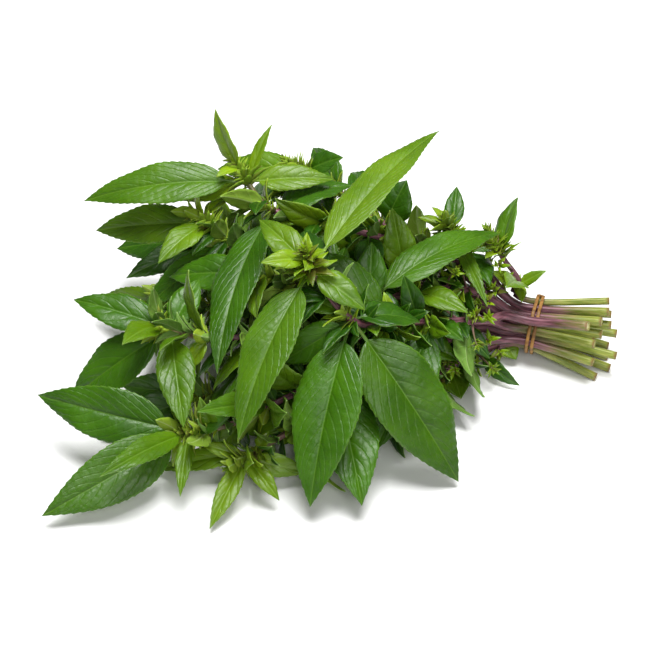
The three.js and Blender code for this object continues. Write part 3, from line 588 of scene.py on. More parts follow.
def given_leaves(stem, line, number):
    """The listed leaves, from their nodes."""
    for found in stem["leaves"]:
        root = line_at(line, line["length"] - stem["nodes"][found["node"]])[0]
        yield dict(found, root=root, given=True)


def rosette_leaves(stem, line, number):
    """Three young leaves round the tip."""
    for blade in range(ROSETTE_BLADES):
        place = line_at(line, line["length"] - 0.5 - ROSETTE_STEP * blade)
        chance = scatter(number, 100 + blade)
        turn = 2 * np.pi * (blade + 0.6 * chance) / ROSETTE_BLADES
        length = ROSETTE_LENGTH * (0.8 + 0.5 * chance)
        yield small_leaf(place, turn, np.radians(38 + 24 * chance), length, fresh=0.75)


def pair_angle(stem, place, node):
    """The turn of a pair: opposite its first listed leaf, or a right angle on from the pair below."""
    given = [found for found in stem["leaves"] if found["node"] == node]
    if not given:
        return np.radians(stem["turn"] + 90 * node), 0
    away = given[0]["tip"] - place[0]
    return np.arctan2(away @ place[3], away @ place[2]) + np.pi, len(given)


def rule_leaves(stem, line, number):
    """The rest of each pair, longer from the young tip to the older nodes."""
    for node, back in enumerate(stem["nodes"]):
        place = line_at(line, line["length"] - back)
        angle, count = pair_angle(stem, place, node)
        for side in range(count, 2):
            chance = scatter(number, 10 * node + side)
            grown_share = min(1, back / OLD_AT)
            length = YOUNG_LENGTH + (OLD_LENGTH - YOUNG_LENGTH) * grown_share
            length *= 1 + LENGTH_SCATTER * (2 * chance - 1)
            away = outward(place, angle + np.pi * side + 0.4 * (chance - 0.5))
            direction = unit(place[1] * np.cos(LEAF_ANGLE) + away * np.sin(LEAF_ANGLE) - UP * LEAF_SAG)
            yield dict(
                root=place[0], tip=place[0] + direction * length, width=WIDTH_SHARE * length, bend=LEAF_BEND,
                hint=place[1] * 0.5 + UP * 0.6 - away * 0.3, given=False, fresh=0.35 * (1 - grown_share),
            )


def shoot_leaves(stem, line, number):
    """A young leaf in the axil above each node but the one next to the tip."""
    for index, back in enumerate(stem["nodes"][1:]):
        place = line_at(line, line["length"] - back + AXIL_RISE)
        chance = scatter(number, 200 + index)
        length = SHOOT_LENGTH * (0.8 + 0.4 * chance)
        yield small_leaf(place, 2 * np.pi * chance, np.radians(40), length, fresh=0.45)


grown = [[] for stem in STEMS]


def grow(leaves_of):
    """Settles the leaves that a rule gives for each stem in turn, and returns how many found room."""
    count = 0
    for number, (stem, line) in enumerate(zip(STEMS, lines), start=1):
        for found in leaves_of(stem, line, number):
            settled = settle(found, number)
            if settled is not None:
                grown[number - 1].append(settled)
                count += 1
    return count


for number, (stem, line) in enumerate(zip(STEMS, lines), start=1):
    distance = np.arange(0, line["length"], SAMPLE_STEP)
    point, direction, side, over = (part[:, None] for part in line_at(line, distance))
    radius = stem_radius(stem, line, distance)[:, None, None]
    turn = np.radians(60 * np.arange(6))[:, None]
    mark_cells((point + radius * (side * np.cos(turn) + over * np.sin(turn))).reshape(-1, 3), number)

for leaves_of in (given_leaves, rosette_leaves, rule_leaves, shoot_leaves):
    print(leaves_of.__name__, "settled:", grow(leaves_of))

# %% [markdown]
# ## The small growth between the leaves
# The solids leave out what is small: the leaves of side shoots, the buds in the axils, thin stalks that
# end in buds, and the spiky clusters of bracts at the tips. They make a bunch look like basil and close
# the gaps that let the table show through. Leaves and stalks settle in the room that is left, by the same
# rule as before, but may come closer to the large leaves.

# %% Leaves of side shoots and bud stalks
CLEAR_LENGTH = 64
DEEP = 0.84
SIDE_SHOOT_LENGTH = 34
SIDE_SHOOT_RISE = 3
YOUNGEST_WITH_SHOOTS = 20
INNER_LENGTH = 30
INNER_EVERY = 9
SMALL_INNER_LENGTH = 20
SMALL_INNER_EVERY = 3
INNER_FROM, SMALL_INNER_FROM = 58.0, 60.0
BARE_LENGTH = 62
# Painted shade: a tone below zero gives the leaves inside the bunch the darkest green.
INNER_PAINTED_SHADE_TONE = -0.4
BUD_LENGTH = 13
BUD_BLADES = 6
BUD_RISE = 1.5
STALK_LENGTH = 15
STALK_ROOM = 3
STALK_COUNT = 7
STALK_EVERY = 6
STALKS_FROM = 46.0
GOLDEN_ANGLE = np.radians(137.5)


def side_shoots(stem, line, number):
    """Two middling leaves at every older node, a right angle round from its pair."""
    for node, back in enumerate(stem["nodes"]):
        if back < YOUNGEST_WITH_SHOOTS or line["length"] - back < CLEAR_LENGTH:
            continue
        place = line_at(line, line["length"] - back + SIDE_SHOOT_RISE)
        angle = pair_angle(stem, place, node)[0] + np.pi / 2
        for side in range(2):
            chance = scatter(number, 300 + 10 * node + side)
            length = SIDE_SHOOT_LENGTH * (0.75 + 0.5 * chance)
            tilt = np.radians(50 + 25 * chance)
            yield small_leaf(place, angle + np.pi * side, tilt, length, fresh=0.1 + 0.4 * chance, reach=DEEP)


def between_nodes(stem, line, number):
    """Two leaves of a side shoot that leaves the stem between two nodes."""
    for node in range(len(stem["nodes"]) - 1):
        back = (stem["nodes"][node] + stem["nodes"][node + 1]) / 2
        if line["length"] - back < CLEAR_LENGTH:
            continue
        place = line_at(line, line["length"] - back)
        for side in range(2):
            chance = scatter(number, 400 + 10 * node + side)
            turn = 2 * np.pi * chance + np.pi * side
            length = INNER_LENGTH * (0.7 + 0.6 * scatter(number, 450 + 10 * node + side))
            yield small_leaf(place, turn, np.radians(48), length, fresh=0.35 * chance, reach=DEEP)


def inner_leaves(stem, line, number):
    """Leaves all along the hidden length of a stem, each a golden angle on. They fill the inside, and their
    tone below zero gives them the darkest green as painted shade.
    """
    count = int((line["length"] - BARE_LENGTH) / INNER_EVERY)
    for step in range(2 * count):
        place = line_at(line, INNER_FROM + INNER_EVERY * (step + 0.5) / 2)
        chance = scatter(number, 700 + step)
        length = INNER_LENGTH * (0.7 + 0.7 * chance)
        tilt = np.radians(48 + 34 * chance)
        yield small_leaf(place, GOLDEN_ANGLE * step, tilt, length, tone=INNER_PAINTED_SHADE_TONE, reach=DEEP)


def small_inner_leaves(stem, line, number):
    """Short leaves in between, for the narrow room that is left."""
    count = int((line["length"] - BARE_LENGTH) / SMALL_INNER_EVERY)
    for step in range(count):
        place = line_at(line, SMALL_INNER_FROM + SMALL_INNER_EVERY * step)
        chance = scatter(number, 1200 + step)
        length = SMALL_INNER_LENGTH * (0.7 + 0.6 * chance)
        tilt = np.radians(52 + 36 * scatter(number, 1500 + step))
        # These leaves also take the darkest green as painted shade inside the bunch.
        yield small_leaf(place, GOLDEN_ANGLE * (step + 0.5), tilt, length, tone=INNER_PAINTED_SHADE_TONE, reach=DEEP)


def bud_stalks(stem, line, number):
    """Seven thin stalks between the band and the first leaves, 6 mm apart, close to their stem."""
    for step in range(STALK_COUNT):
        place = line_at(line, STALKS_FROM + STALK_EVERY * step)
        chance = scatter(number, 800 + step)
        length = STALK_LENGTH * (0.7 + 0.7 * chance)
        angle = np.radians(22 + 24 * chance)
        found = small_leaf(place, GOLDEN_ANGLE * (step + 0.4), angle, length, stalk=True)
        yield dict(found, width=STALK_ROOM)


def axil_leaves(stem, line, number):
    """Six small blades in the axils of every node."""
    for node, back in enumerate(stem["nodes"]):
        place = line_at(line, line["length"] - back + BUD_RISE)
        for blade in range(BUD_BLADES):
            chance = scatter(number, 500 + 10 * node + blade)
            turn = np.pi / 3 * (blade + chance)
            length = BUD_LENGTH * (0.6 + 0.6 * chance)
            yield small_leaf(place, turn, np.radians(28 + 30 * chance), length, fresh=0.7 + 0.25 * chance)


room[:] = tight_room
for leaves_of in (side_shoots, between_nodes, axil_leaves, inner_leaves, small_inner_leaves, bud_stalks):
    print(leaves_of.__name__, "settled:", grow(leaves_of))
print("leaves and stalks in all:", sum(len(leaves) for leaves in grown))

# %% [markdown]
# ## Shells and pieces
# Every blade, stem and turn of rubber is a closed shell, and all shells of one leafy stem make one piece.
# A piece could be joined from hundreds of objects, but it is quicker to stack the arrays and hand them to
# the mesh once. Each point also carries a few numbers, such as how far it is from the midrib, which the
# finishes read.

# %% From arrays to a mesh
TRAITS = ("along", "across", "vein", "midrib", "fresh", "tone", "blush")


def shell(points, faces, slot, smooth_faces, **traits):
    """A shell: points in millimetres, faces as rows of four or three, their finish, and a number of each
    trait."""
    columns = [np.broadcast_to(np.asarray(traits.get(name, 0.0), float), len(points)) for name in TRAITS]
    return dict(points=points, faces=faces, slot=slot, smooth=smooth_faces, traits=np.stack(columns))


def grid_faces(rows, columns, around):
    """Four-sided faces of a grid of points. If around, the last column joins the first."""
    i, j = np.meshgrid(np.arange(rows - 1), np.arange(columns if around else columns - 1), indexing="ij")
    after = (j + 1) % columns
    corners = [i * columns + j, (i + 1) * columns + j, (i + 1) * columns + after, i * columns + after]
    return np.stack(corners, axis=-1).reshape(-1, 4)


def sheet_faces(shape):
    """Faces of a thin sheet: the upper grid, the lower one, whose points come after it, and the rim."""
    upper = grid_faces(*shape, around=False)
    border = np.arange(np.prod(shape)).reshape(shape)
    loop = np.concatenate([border[:-1, 0], border[-1, :-1], border[:0:-1, -1], border[0, :0:-1]])
    after = np.roll(loop, -1)
    rim = np.stack([loop, loop + border.size, after + border.size, after], axis=1)
    return [upper, upper[:, ::-1] + border.size, rim]


def make_piece(name, shells, finishes):
    """Stacks the shells into one mesh, each shell's faces moved on by the points before it."""
    points = metres(np.vstack([part["points"] for part in shells]))
    starts = np.cumsum([0] + [len(part["points"]) for part in shells[:-1]])
    loops, sizes, slots, smooths = [], [], [], []
    for part, start in zip(shells, starts):
        for faces, slot, smooth_faces in zip(part["faces"], part["slot"], part["smooth"]):
            loops.append((faces + start).ravel())
            sizes.append(np.full(len(faces), faces.shape[1]))
            slots.append(np.full(len(faces), slot))
            smooths.append(np.full(len(faces), smooth_faces))
    loops, sizes = np.concatenate(loops), np.concatenate(sizes)
    mesh = bpy.data.meshes.new(name)
    mesh.vertices.add(len(points))
    mesh.vertices.foreach_set("co", points.ravel())
    mesh.loops.add(len(loops))
    mesh.loops.foreach_set("vertex_index", loops)
    mesh.polygons.add(len(sizes))
    mesh.polygons.foreach_set("loop_start", np.cumsum(sizes) - sizes)
    for finish in finishes:
        mesh.materials.append(finish)
    mesh.polygons.foreach_set("material_index", np.concatenate(slots))
    mesh.polygons.foreach_set("use_smooth", np.concatenate(smooths))
    traits = np.hstack([part["traits"] for part in shells])
    for trait, values in zip(TRAITS, traits):
        layer = mesh.attributes.new(trait, "FLOAT", "POINT")
        layer.data.foreach_set("value", values.astype(np.float32))
    mesh.update(calc_edges=True)
    mesh.validate()
    piece = bpy.data.objects.new(name, mesh)
    bpy.context.scene.collection.objects.link(piece)
    print(name, "has", int((sizes - 2).sum()), "triangles")
    return piece


# %% [markdown]
# ## The blade as a thin shell
# A real blade is a third of a millimetre thick, toothed like a saw that points to the tip, and quilted:
# the skin domes up between the veins, which lie in grooves above and stand out as ridges below. Bump alone
# would leave a smooth outline and a smooth mesh, so teeth, quilting and midrib are in the shape, and only
# the finest net of veins is left to the finish. Rows of points follow the teeth, three or four to a
# tooth, and columns crowd at the midrib.

# %% Blades
BLADE_THICKNESS = 0.34
LEAST_HALF_WIDTH = 0.1
LEAST_HEIGHT = 0.1
ROWS_PER_TOOTH = 4
TOOTH_LENGTH = 3.9
TOOTH_CUT = 0.2
QUILT_HEIGHT = 0.05
MIDRIB_GROOVE, MIDRIB_RIDGE, SIDE_RIDGE = 0.4, 0.62, 0.12
MARGIN_WAVE = 0.014
VEIN_EVERY = 8.2
VEIN_LEAN = 0.36
FULL, PART, SMALL, TINY = 50, 30, 17, 0
COLUMNS = {
    FULL: [0, 0.04, 0.12, 0.24, 0.37, 0.51, 0.65, 0.79, 0.91, 1],
    PART: [0, 0.08, 0.24, 0.42, 0.62, 0.83, 1],
    SMALL: [0, 0.16, 0.42, 0.72, 1],
    TINY: [0, 0.45, 1],
}
UPPER, UNDER, SKIN, CUT = range(4)


def blade_rows(length):
    """Shares of the length at which the blade has rows, and the number of teeth on each side."""
    if length < SMALL:
        return np.array([0, 0.14, 0.36, 0.62, 0.86, 1]), 0
    teeth = max(3, round(length / TOOTH_LENGTH))
    per_tooth = ROWS_PER_TOOTH if length > PART else 3
    blade = PETIOLE_SHARE + (1 - PETIOLE_SHARE) * np.arange(teeth * per_tooth + 1) / (teeth * per_tooth)
    return np.concatenate([[0, 0.35, 0.7], blade / PETIOLE_SHARE]) * PETIOLE_SHARE, teeth


def tooth_edge(t, teeth):
    """Millimetres out by a slow rise and in by a quick fall, once in every tooth, none at stalk and tip."""
    phase = t * teeth % 1
    saw = np.where(phase < 0.78, phase / 0.78, (1 - phase) / 0.22)
    return TOOTH_CUT * (2 * saw - 1) * smooth(0.04, 0.2, t) * smooth(1, 0.9, t)


def blade_shell(found, number, index):
    """The leaf formula on a grid, with teeth in the width and quilting in the lift. The lower skin is the
    upper one moved down by the thickness, more under the midrib and the side veins, most under the
    stalk."""
    length, width = leaf_length(found), found["width"]
    size = next(limit for limit in COLUMNS if length >= limit)
    half_columns = np.array(COLUMNS[size])
    columns = np.concatenate([-half_columns[:0:-1], half_columns])
    rows, teeth = blade_rows(length)
    s, w = np.meshgrid(rows, columns, indexing="ij")
    t = blade_share(s)
    chance = scatter(number, 1000 + index)

    stalk = min(0.75, 0.25 + 0.008 * length)
    half = half_width(width, s, stalk)
    if teeth:
        half = half + tooth_edge(t, teeth) * min(1, length / FULL)
    half = np.maximum(half, LEAST_HALF_WIDTH)

    veins = max(3, round(length / VEIN_EVERY))
    vein = veins * (t - VEIN_LEAN * np.abs(w) ** 1.3) + 0.35 * w + chance
    midrib = np.abs(w) * half
    blade = smooth(0.5 * PETIOLE_SHARE, 1.6 * PETIOLE_SHARE, s)
    dome = np.abs(np.sin(np.pi * vein)) ** 0.85
    body = smooth(0.0, 0.25, np.abs(w)) * (1 - np.abs(w) ** 4) * smooth(1, 0.85, t) * blade
    groove = np.exp(-((midrib / 0.6) ** 2)) * (1 - 0.6 * t) * blade
    round_stalk = np.sqrt(np.maximum(0, 1 - w**2)) * (1 - blade) * stalk
    wave = MARGIN_WAVE * width * w**2 * np.sin(9 * s + 40 * chance + 2.5 * w) * blade
    quilt = QUILT_HEIGHT * width / 2 * (dome - 0.6) * body
    relief = quilt - MIDRIB_GROOVE * groove + 0.5 * round_stalk + wave * 0.6

    lift = leaf_lift(half, s, w)
    thickness = BLADE_THICKNESS * (0.5 + 0.5 * blade) * (1 - 0.45 * np.abs(w) ** 4)
    ridge = np.exp(-((midrib / 0.7) ** 2)) * (MIDRIB_RIDGE - 0.5 * t) * stalk / 0.75 * blade
    side_ridge = SIDE_RIDGE * np.abs(np.cos(np.pi * vein)) ** 8 * body
    below = thickness + ridge + side_ridge + 1.1 * round_stalk

    axes = leaf_axes(found["tip"] - found["root"], found["hint"], found["bend"])
    top = found["root"] + leaf_places(length, found["bend"], s, w, half, lift + relief) @ axes
    bottom = found["root"] + leaf_places(length, found["bend"], s, w, half, lift + relief - below) @ axes
    points = np.vstack([top.reshape(-1, 3), bottom.reshape(-1, 3)])
    points[:, 2] = np.maximum(points[:, 2], LEAST_HEIGHT)

    blush = 0.6 * (1 - smooth(0, PETIOLE_SHARE, s))
    twice = [np.tile(value.ravel(), 2) for value in (s, w, vein, midrib, blush)]
    return shell(
        points, sheet_faces(s.shape), [UPPER, UNDER, UNDER], [True, True, False],
        along=twice[0], across=twice[1], vein=twice[2], midrib=twice[3],
        fresh=found.get("fresh", 0.0), tone=found.get("tone", chance), blush=twice[4],
    )


test = blade_shell(grown[0][0], 1, 0)
print("points of one large blade:", len(test["points"]))

# %% [markdown]
# ## Bract clusters
# The tips of the stems end in buds, packed with small pointed bracts, and smaller tufts of them sit in the
# axils and on the thin stalks. There are about 2,700, so one bract has only 22 faces: four rows of three
# points above and the same below. A whole spiral of bracts is worked out as one array. A tuft is as dense
# as its room allows, so a bract that would reach into another stem's cells is left out.

# %% Bracts
BRACT_ROWS = np.array([0, 0.3, 0.65, 1])
BRACT_HALF_WIDTHS = np.array([0.3, 1, 0.72, 0.06])
BRACT_THICKNESS = 0.22
BRACT_WIDTH_SHARE = 0.19
BRACT_FOLD = 0.45
BRACT_BEND = 0.2
TIP_TUFT = dict(count=64, reach=16, lengths=(3.5, 10.5), tilts=(8, 62))
NODE_TUFT = dict(count=16, reach=6, lengths=(3.5, 8), tilts=(20, 60))
STALK_TUFT = dict(count=14, reach=5, lengths=(2.2, 5), tilts=(10, 60))


def free_bracts(points, number):
    """True for each bract with no point in a cell of another stem. The cells of those bracts become its
    own stem's."""
    cells = cell_of(np.clip(points, REACH_LOW, REACH_HIGH)).reshape(len(points), -1)
    free = np.isin(tight_room[cells], (0, number)).all(axis=1)
    tight_room[cells[free]] = number
    return free


def bract_spiral(place, number, key, count, reach, lengths, tilts):
    """Bracts a golden angle apart, from the bud's point down the stem by the reach. From first to last their
    length and their tilt go between two values. Each bends away by 0.2 of its length times s squared. Those
    that would reach into another stem's leaves are left out."""
    index = np.arange(count)
    share = index / count
    chance = scatter(number, key + index)
    length = (lengths[0] + (lengths[1] - lengths[0]) * share) * (0.7 + 0.6 * chance)
    tilt = np.radians(tilts[0] + (tilts[1] - tilts[0]) * share + 18 * chance)
    turn = GOLDEN_ANGLE * index + chance
    point, direction, side, over = place
    away = side * np.cos(turn)[:, None] + over * np.sin(turn)[:, None]
    cosine, sine = np.cos(tilt)[:, None], np.sin(tilt)[:, None]
    forward = direction * cosine + away * sine
    rise = direction * sine - away * cosine
    across = np.cross(rise, forward)
    root = point + direction * (reach * (0.2 - share))[:, None]

    s, w = np.meshgrid(BRACT_ROWS, [-1.0, 0.0, 1.0], indexing="ij")
    half = BRACT_HALF_WIDTHS[:, None] * length[:, None, None] * BRACT_WIDTH_SHARE
    ahead = s * length[:, None, None]
    lift = BRACT_FOLD * np.abs(w) * half - BRACT_BEND * s**2 * length[:, None, None]
    under = lift - BRACT_THICKNESS * (1 - 0.6 * s)
    skins = [
        root[:, None, None] + ahead[..., None] * forward[:, None, None]
        + (w * half)[..., None] * across[:, None, None] + up[..., None] * rise[:, None, None]
        for up in (lift, under)
    ]
    points = np.stack(skins, axis=1)
    points[..., 2] = np.maximum(points[..., 2], LEAST_HEIGHT)
    free = free_bracts(points, number)
    points, chance = points[free], chance[free]
    count = len(points)

    starts = (2 * s.size * np.arange(count))[:, None, None]
    stretched = [np.broadcast_to(value, (count, 2, *s.shape)).ravel() for value in (s, w)]
    brown = smooth(0.72, 0.98, chance)[:, None, None, None] * (1 - 0.7 * s)
    return shell(
        points.reshape(-1, 3), [(faces + starts).reshape(-1, 4) for faces in sheet_faces(s.shape)],
        [UPPER, UNDER, UNDER], [True, True, False],
        along=stretched[0], across=stretched[1], midrib=9.0, vein=0.5,
        fresh=np.repeat(0.95 - 0.35 * chance, 2 * s.size), tone=np.repeat(chance, 2 * s.size),
        blush=np.broadcast_to(brown, (count, 2, *s.shape)).ravel(),
    )


def bract_shells(stem, line, number):
    """A large cluster at the tip of a stem, and a tuft at every node."""
    length = line["length"]
    yield bract_spiral(line_at(line, length + 2), number, 2000, **TIP_TUFT)
    for node, back in enumerate(stem["nodes"]):
        place = line_at(line, length - back + AXIL_RISE)
        yield bract_spiral(place, number, 2100 + 20 * node, **NODE_TUFT)


# %% [markdown]
# ## The stems
# A basil stem is squarish, thickened at its nodes, purple brown over most of its length and pale green
# towards the cut. The section is a circle pressed towards a square and carried along the centre line. The
# cut end is a shallow dish with a rim, as a knife leaves it, so the same rings go on inwards over the cut.

# %% Stems
STEM_SIDES = 20
RING_STEP = 2.4
NODE_SWELL = 0.18
NODE_REACH = 2.6
PURPLE_TONE = 1.45
CUT_RINGS = np.array([[0.3, -0.5], [0.62, -0.42], [0.86, -0.12], [0.95, 0.0]])


def round_angles(sides):
    """The angles of so many points round a tube."""
    return 2 * np.pi * np.arange(sides) / sides


def tube_faces(rings, sides):
    """Faces of a tube, closed at both ends by a fan to one more point, the first end's and then the last
    end's."""
    here = np.arange(sides)
    after = (here + 1) % sides
    top = (rings - 1) * sides
    first = np.stack([after, here, np.full(sides, rings * sides)], axis=1)
    last = np.stack([top + here, top + after, np.full(sides, rings * sides + 1)], axis=1)
    return grid_faces(rings, sides, around=True)[:, ::-1], first, last


def stem_shell(stem, line, number):
    """Rings along the centre line: the radius times 1 + 0.075 cos(4 turn) - 0.03 cos(8 turn), which is a
    square with round corners and hollow sides, and thicker at each node."""
    length = line["length"]
    rings = int(length / RING_STEP)
    distance = np.linspace(0, length, rings)
    point, direction, side, over = (part[:, None] for part in line_at(line, distance))
    nodes = length - np.array(stem["nodes"], float)
    swell = np.exp(-(((distance[:, None] - nodes) / NODE_REACH) ** 2)).sum(axis=1)
    radius = stem_radius(stem, line, distance) * (1 + NODE_SWELL * swell)
    turn = round_angles(STEM_SIDES)
    section = 1 + 0.075 * np.cos(4 * turn + number) - 0.03 * np.cos(8 * turn + 2 * number)
    reach = (radius[:, None] * section)[..., None]
    round_turn = turn[None, :, None]
    body = point + reach * (side * np.cos(round_turn) + over * np.sin(round_turn))
    start, start_direction = point[0, 0], direction[0, 0]
    cut = start + (body[0] - start) * CUT_RINGS[:, :1, None] - start_direction * CUT_RINGS[:, 1:, None]
    end, end_direction = point[-1, 0], direction[-1, 0]
    tip = end + (body[-1] - end) * 0.5 + end_direction * 1.8
    middle = start + start_direction * 0.55
    points = np.vstack([cut.reshape(-1, 3), body.reshape(-1, 3), tip, [middle, end + end_direction * 2.4]])
    points[:, 2] = np.maximum(points[:, 2], 0)
    count = len(CUT_RINGS) + rings + 1
    sides, first, last = tube_faces(count, STEM_SIDES)
    cut_faces = len(CUT_RINGS) * STEM_SIDES
    along = np.concatenate([np.zeros(len(CUT_RINGS)), distance, [length]]).repeat(STEM_SIDES)
    from_edge = np.concatenate([CUT_RINGS[:, 0], np.ones(rings + 1)]).repeat(STEM_SIDES)
    tone = scatter(number, 900) if stem.get("held", True) else PURPLE_TONE
    return shell(
        points, [sides[:cut_faces], sides[cut_faces:], first, last], [CUT, SKIN, CUT, SKIN],
        [True, True, True, True],
        along=np.append(along, [0, length]), across=np.append(np.tile(np.cos(turn), count), [0, 0]),
        vein=np.append(np.tile(np.sin(turn), count), [0, 0]), midrib=np.append(from_edge, [0, 1]),
        fresh=np.append(along, [0, length]) / length, tone=tone,
    )


STALK_SIDES = 6
STALK_RINGS = 7


def stalk_shell(found, number, index):
    """A thin tube along the midrib of the leaf whose room it has, from 0.6 mm down to 0.35 mm in radius."""
    length = leaf_length(found)
    share = np.linspace(0, 1, STALK_RINGS)
    turn = round_angles(STALK_SIDES)
    s, round_turn = np.meshgrid(share, turn, indexing="ij")
    radius = 0.6 - 0.25 * s
    axes = leaf_axes(found["tip"] - found["root"], found["hint"], found["bend"])
    body = leaf_places(length, found["bend"], s, np.cos(round_turn), radius, radius * np.sin(round_turn))
    ends = leaf_places(length, found["bend"], np.array([-0.02, 1.02]), *np.zeros((3, 2)))
    points = found["root"] + np.vstack([body.reshape(-1, 3), ends]) @ axes
    sides, first, last = tube_faces(STALK_RINGS, STALK_SIDES)
    along = np.append(s.ravel(), [0, 1])
    return shell(
        points, [sides, first, last], [SKIN, SKIN, SKIN], [True, True, True],
        along=60 + 20 * along, across=np.append(np.cos(round_turn).ravel(), [0, 0]),
        vein=np.append(np.sin(round_turn).ravel(), [0, 0]), midrib=1.0,
        fresh=0.84 + 0.1 * along, tone=scatter(number, 3000 + index),
    )


def stalk_bud(found, number, index):
    """A small tuft of bracts at the end of a stalk."""
    place = with_sides(found["tip"], unit(found["tip"] - found["root"]))
    return bract_spiral(place, number, 3200 + 10 * index, **STALK_TUFT)


print("points of the first stem:", len(stem_shell(STEMS[0], lines[0], 1)["points"]))

# %% [markdown]
# ## The rubber band
# One band is wound twice round the bundle. Its turns lie side by side in front and change places behind,
# where one rises over the other. The path follows the outermost stem in every direction, and a section of
# a rectangle with round corners is carried along it. The ends meet, so the band is one closed ring.

# %% The band
BAND_WIDTH = 1.5
BAND_THICKNESS = 1.1
BAND_GAP = 0.4
BAND_OFFSET = 1.2
BAND_CROSSING = 1.6
BAND_STEPS = 320
BAND_SIDES = 12
CORNER_POWER = 0.45


def bundle_outside(x, y):
    """Across and up of the outermost held stem in each direction, moved out by its radius, the gap and
    half the thickness of the band."""
    held = [stem for stem in STEMS if stem.get("held", True)]
    slots = np.array([stem["slot"] for stem in held])
    radii = np.array([stem["radius"] for stem in held])
    furthest = np.argmax(slots[:, 0] * x[:, None] + slots[:, 1] * y[:, None] + radii, axis=1)
    gap = radii[furthest] + BAND_GAP + BAND_THICKNESS / 2
    return slots[furthest, 0] + gap * x, slots[furthest, 1] + gap * y


def band_shell():
    """Two turns of a closed path with a rounded section: powers below one of cosine and sine square a
    circle."""
    share = np.arange(BAND_STEPS) / BAND_STEPS
    swing = np.cos(2 * np.pi * share)
    offset = BAND_OFFSET * swing / np.hypot(swing, 0.2)
    rise = np.sqrt(np.maximum(0, BAND_CROSSING**2 - (2 * offset) ** 2)) * (share < 0.5)
    angle = 4 * np.pi * share + np.pi
    x, y = np.cos(angle), np.sin(angle)
    across, up = bundle_outside(x, y)
    turn = round_angles(BAND_SIDES)
    wide, thick = (np.sign(v) * np.abs(v) ** CORNER_POWER for v in (np.cos(turn), np.sin(turn)))
    out = rise[:, None] + thick * BAND_THICKNESS / 2
    along = offset[:, None] + wide * BAND_WIDTH / 2
    points = bundle_place(across[:, None] + out * x[:, None], up[:, None] + out * y[:, None], along, 1)
    here = grid_faces(BAND_STEPS + 1, BAND_SIDES, around=True)[:, ::-1] % (BAND_STEPS * BAND_SIDES)
    return shell(
        points.reshape(-1, 3), [here], [0], [True],
        along=share.repeat(BAND_SIDES), across=np.tile(wide, BAND_STEPS), midrib=np.tile(thick, BAND_STEPS),
    )


print("points of the band:", len(band_shell()["points"]))

# %% [markdown]
# ## Finishes
# Each finish is a small tree of nodes that ends in one Principled shader. The trees read the numbers that
# the points carry, so a pattern follows its leaf wherever the leaf lies. A few helpers keep the trees
# short: one fills inputs, one adds a node, one calculates, one mixes two colours, one fades between two
# limits.

# %% Helpers for finishes


def colour(red, green, blue):
    """A colour from 0 to 255 as the eye sees it, turned into the light that a shader works with."""
    seen = np.array([red, green, blue]) / 255
    return (*np.where(seen <= 0.04045, seen / 12.92, ((seen + 0.055) / 1.055) ** 2.4), 1.0)


def set_inputs(tree, node, inputs):
    """Fills inputs of a node, each with a value or with the end of another node."""
    for name, value in inputs.items():
        if isinstance(value, bpy.types.NodeSocket):
            tree.links.new(value, node.inputs[name])
        else:
            node.inputs[name].default_value = value


def add_node(tree, kind, inputs=None, **settings):
    """A shader node with its inputs. The settings are its own fields."""
    made = tree.nodes.new("ShaderNode" + kind)
    for name, value in settings.items():
        setattr(made, name, value)
    set_inputs(tree, made, inputs or {})
    return made


def trait(tree, name):
    """One of the numbers that the points carry."""
    return add_node(tree, "Attribute", attribute_name=name).outputs["Fac"]


def calculate(tree, operation, first, second=0.0, third=0.0):
    """One step of arithmetic, held between 0 and 1 only where a later step does so."""
    return add_node(tree, "Math", {0: first, 1: second, 2: third}, operation=operation).outputs[0]


def fade(tree, value, low, high, start=0.0, end=1.0):
    """Start below low, end above high, and a straight way between."""
    limits = {"Value": value, "From Min": low, "From Max": high, "To Min": start, "To Max": end}
    return add_node(tree, "MapRange", limits).outputs[0]


def mix(tree, share, first, second):
    """The first colour, and share of the second over it."""
    return add_node(tree, "Mix", {0: share, 6: first, 7: second}, data_type="RGBA").outputs[2]


def spots(tree, scale, detail=2.0, vector=None):
    """Cloudy noise, as many lumps to a metre as the scale says."""
    place = vector or add_node(tree, "TexCoord").outputs["Object"]
    return add_node(tree, "TexNoise", {"Vector": place, "Scale": scale, "Detail": detail}).outputs["Fac"]


def new_finish(name):
    """An empty material with its shader."""
    made = bpy.data.materials.new(name)
    made.use_nodes = True
    tree = made.node_tree
    return made, tree, tree.nodes["Principled BSDF"]


def bump(tree, height, strength, depth):
    """A surface raised by the height: depth is how far, in metres, and strength how much of it shows."""
    return add_node(tree, "Bump", {"Height": height, "Strength": strength, "Distance": depth}).outputs[0]


# %% [markdown]
# ### Leaf blades
# The upper side is a deep, slightly cloudy green with a soft gloss. Young leaves are yellow green, most of
# all at their base. The midrib and the side veins are paler lines, and a fine net of veins pricks the
# gloss. The margins are painted paler, a painted glow of light shining through the thin edge. The lower
# side is greyer, paler and duller. A little light passes through both.

# %% Leaf finishes
LEAF_DARK, LEAF_LIGHT = colour(28, 66, 0), colour(62, 106, 4)
LEAF_FRESH, LEAF_FRESHEST = colour(98, 140, 2), colour(158, 180, 26)
VEIN_PALE, VEIN_FRESH = colour(92, 130, 40), colour(150, 178, 72)
BLUSH = colour(84, 58, 36)
UNDER_DARK, UNDER_LIGHT, UNDER_VEIN = colour(80, 116, 40), colour(112, 146, 62), colour(172, 190, 134)
# How far the margins go towards pale green: a painted glow of light shining through the thin edge.
MARGIN_PAINTED_GLOW = 0.5
NET_SCALES = (310, 1100)
LIGHT_IN_LEAF = {
    "Subsurface Weight": 0.15, "Subsurface Radius": (0.4, 1.0, 0.12), "Subsurface Scale": 0.0009,
}


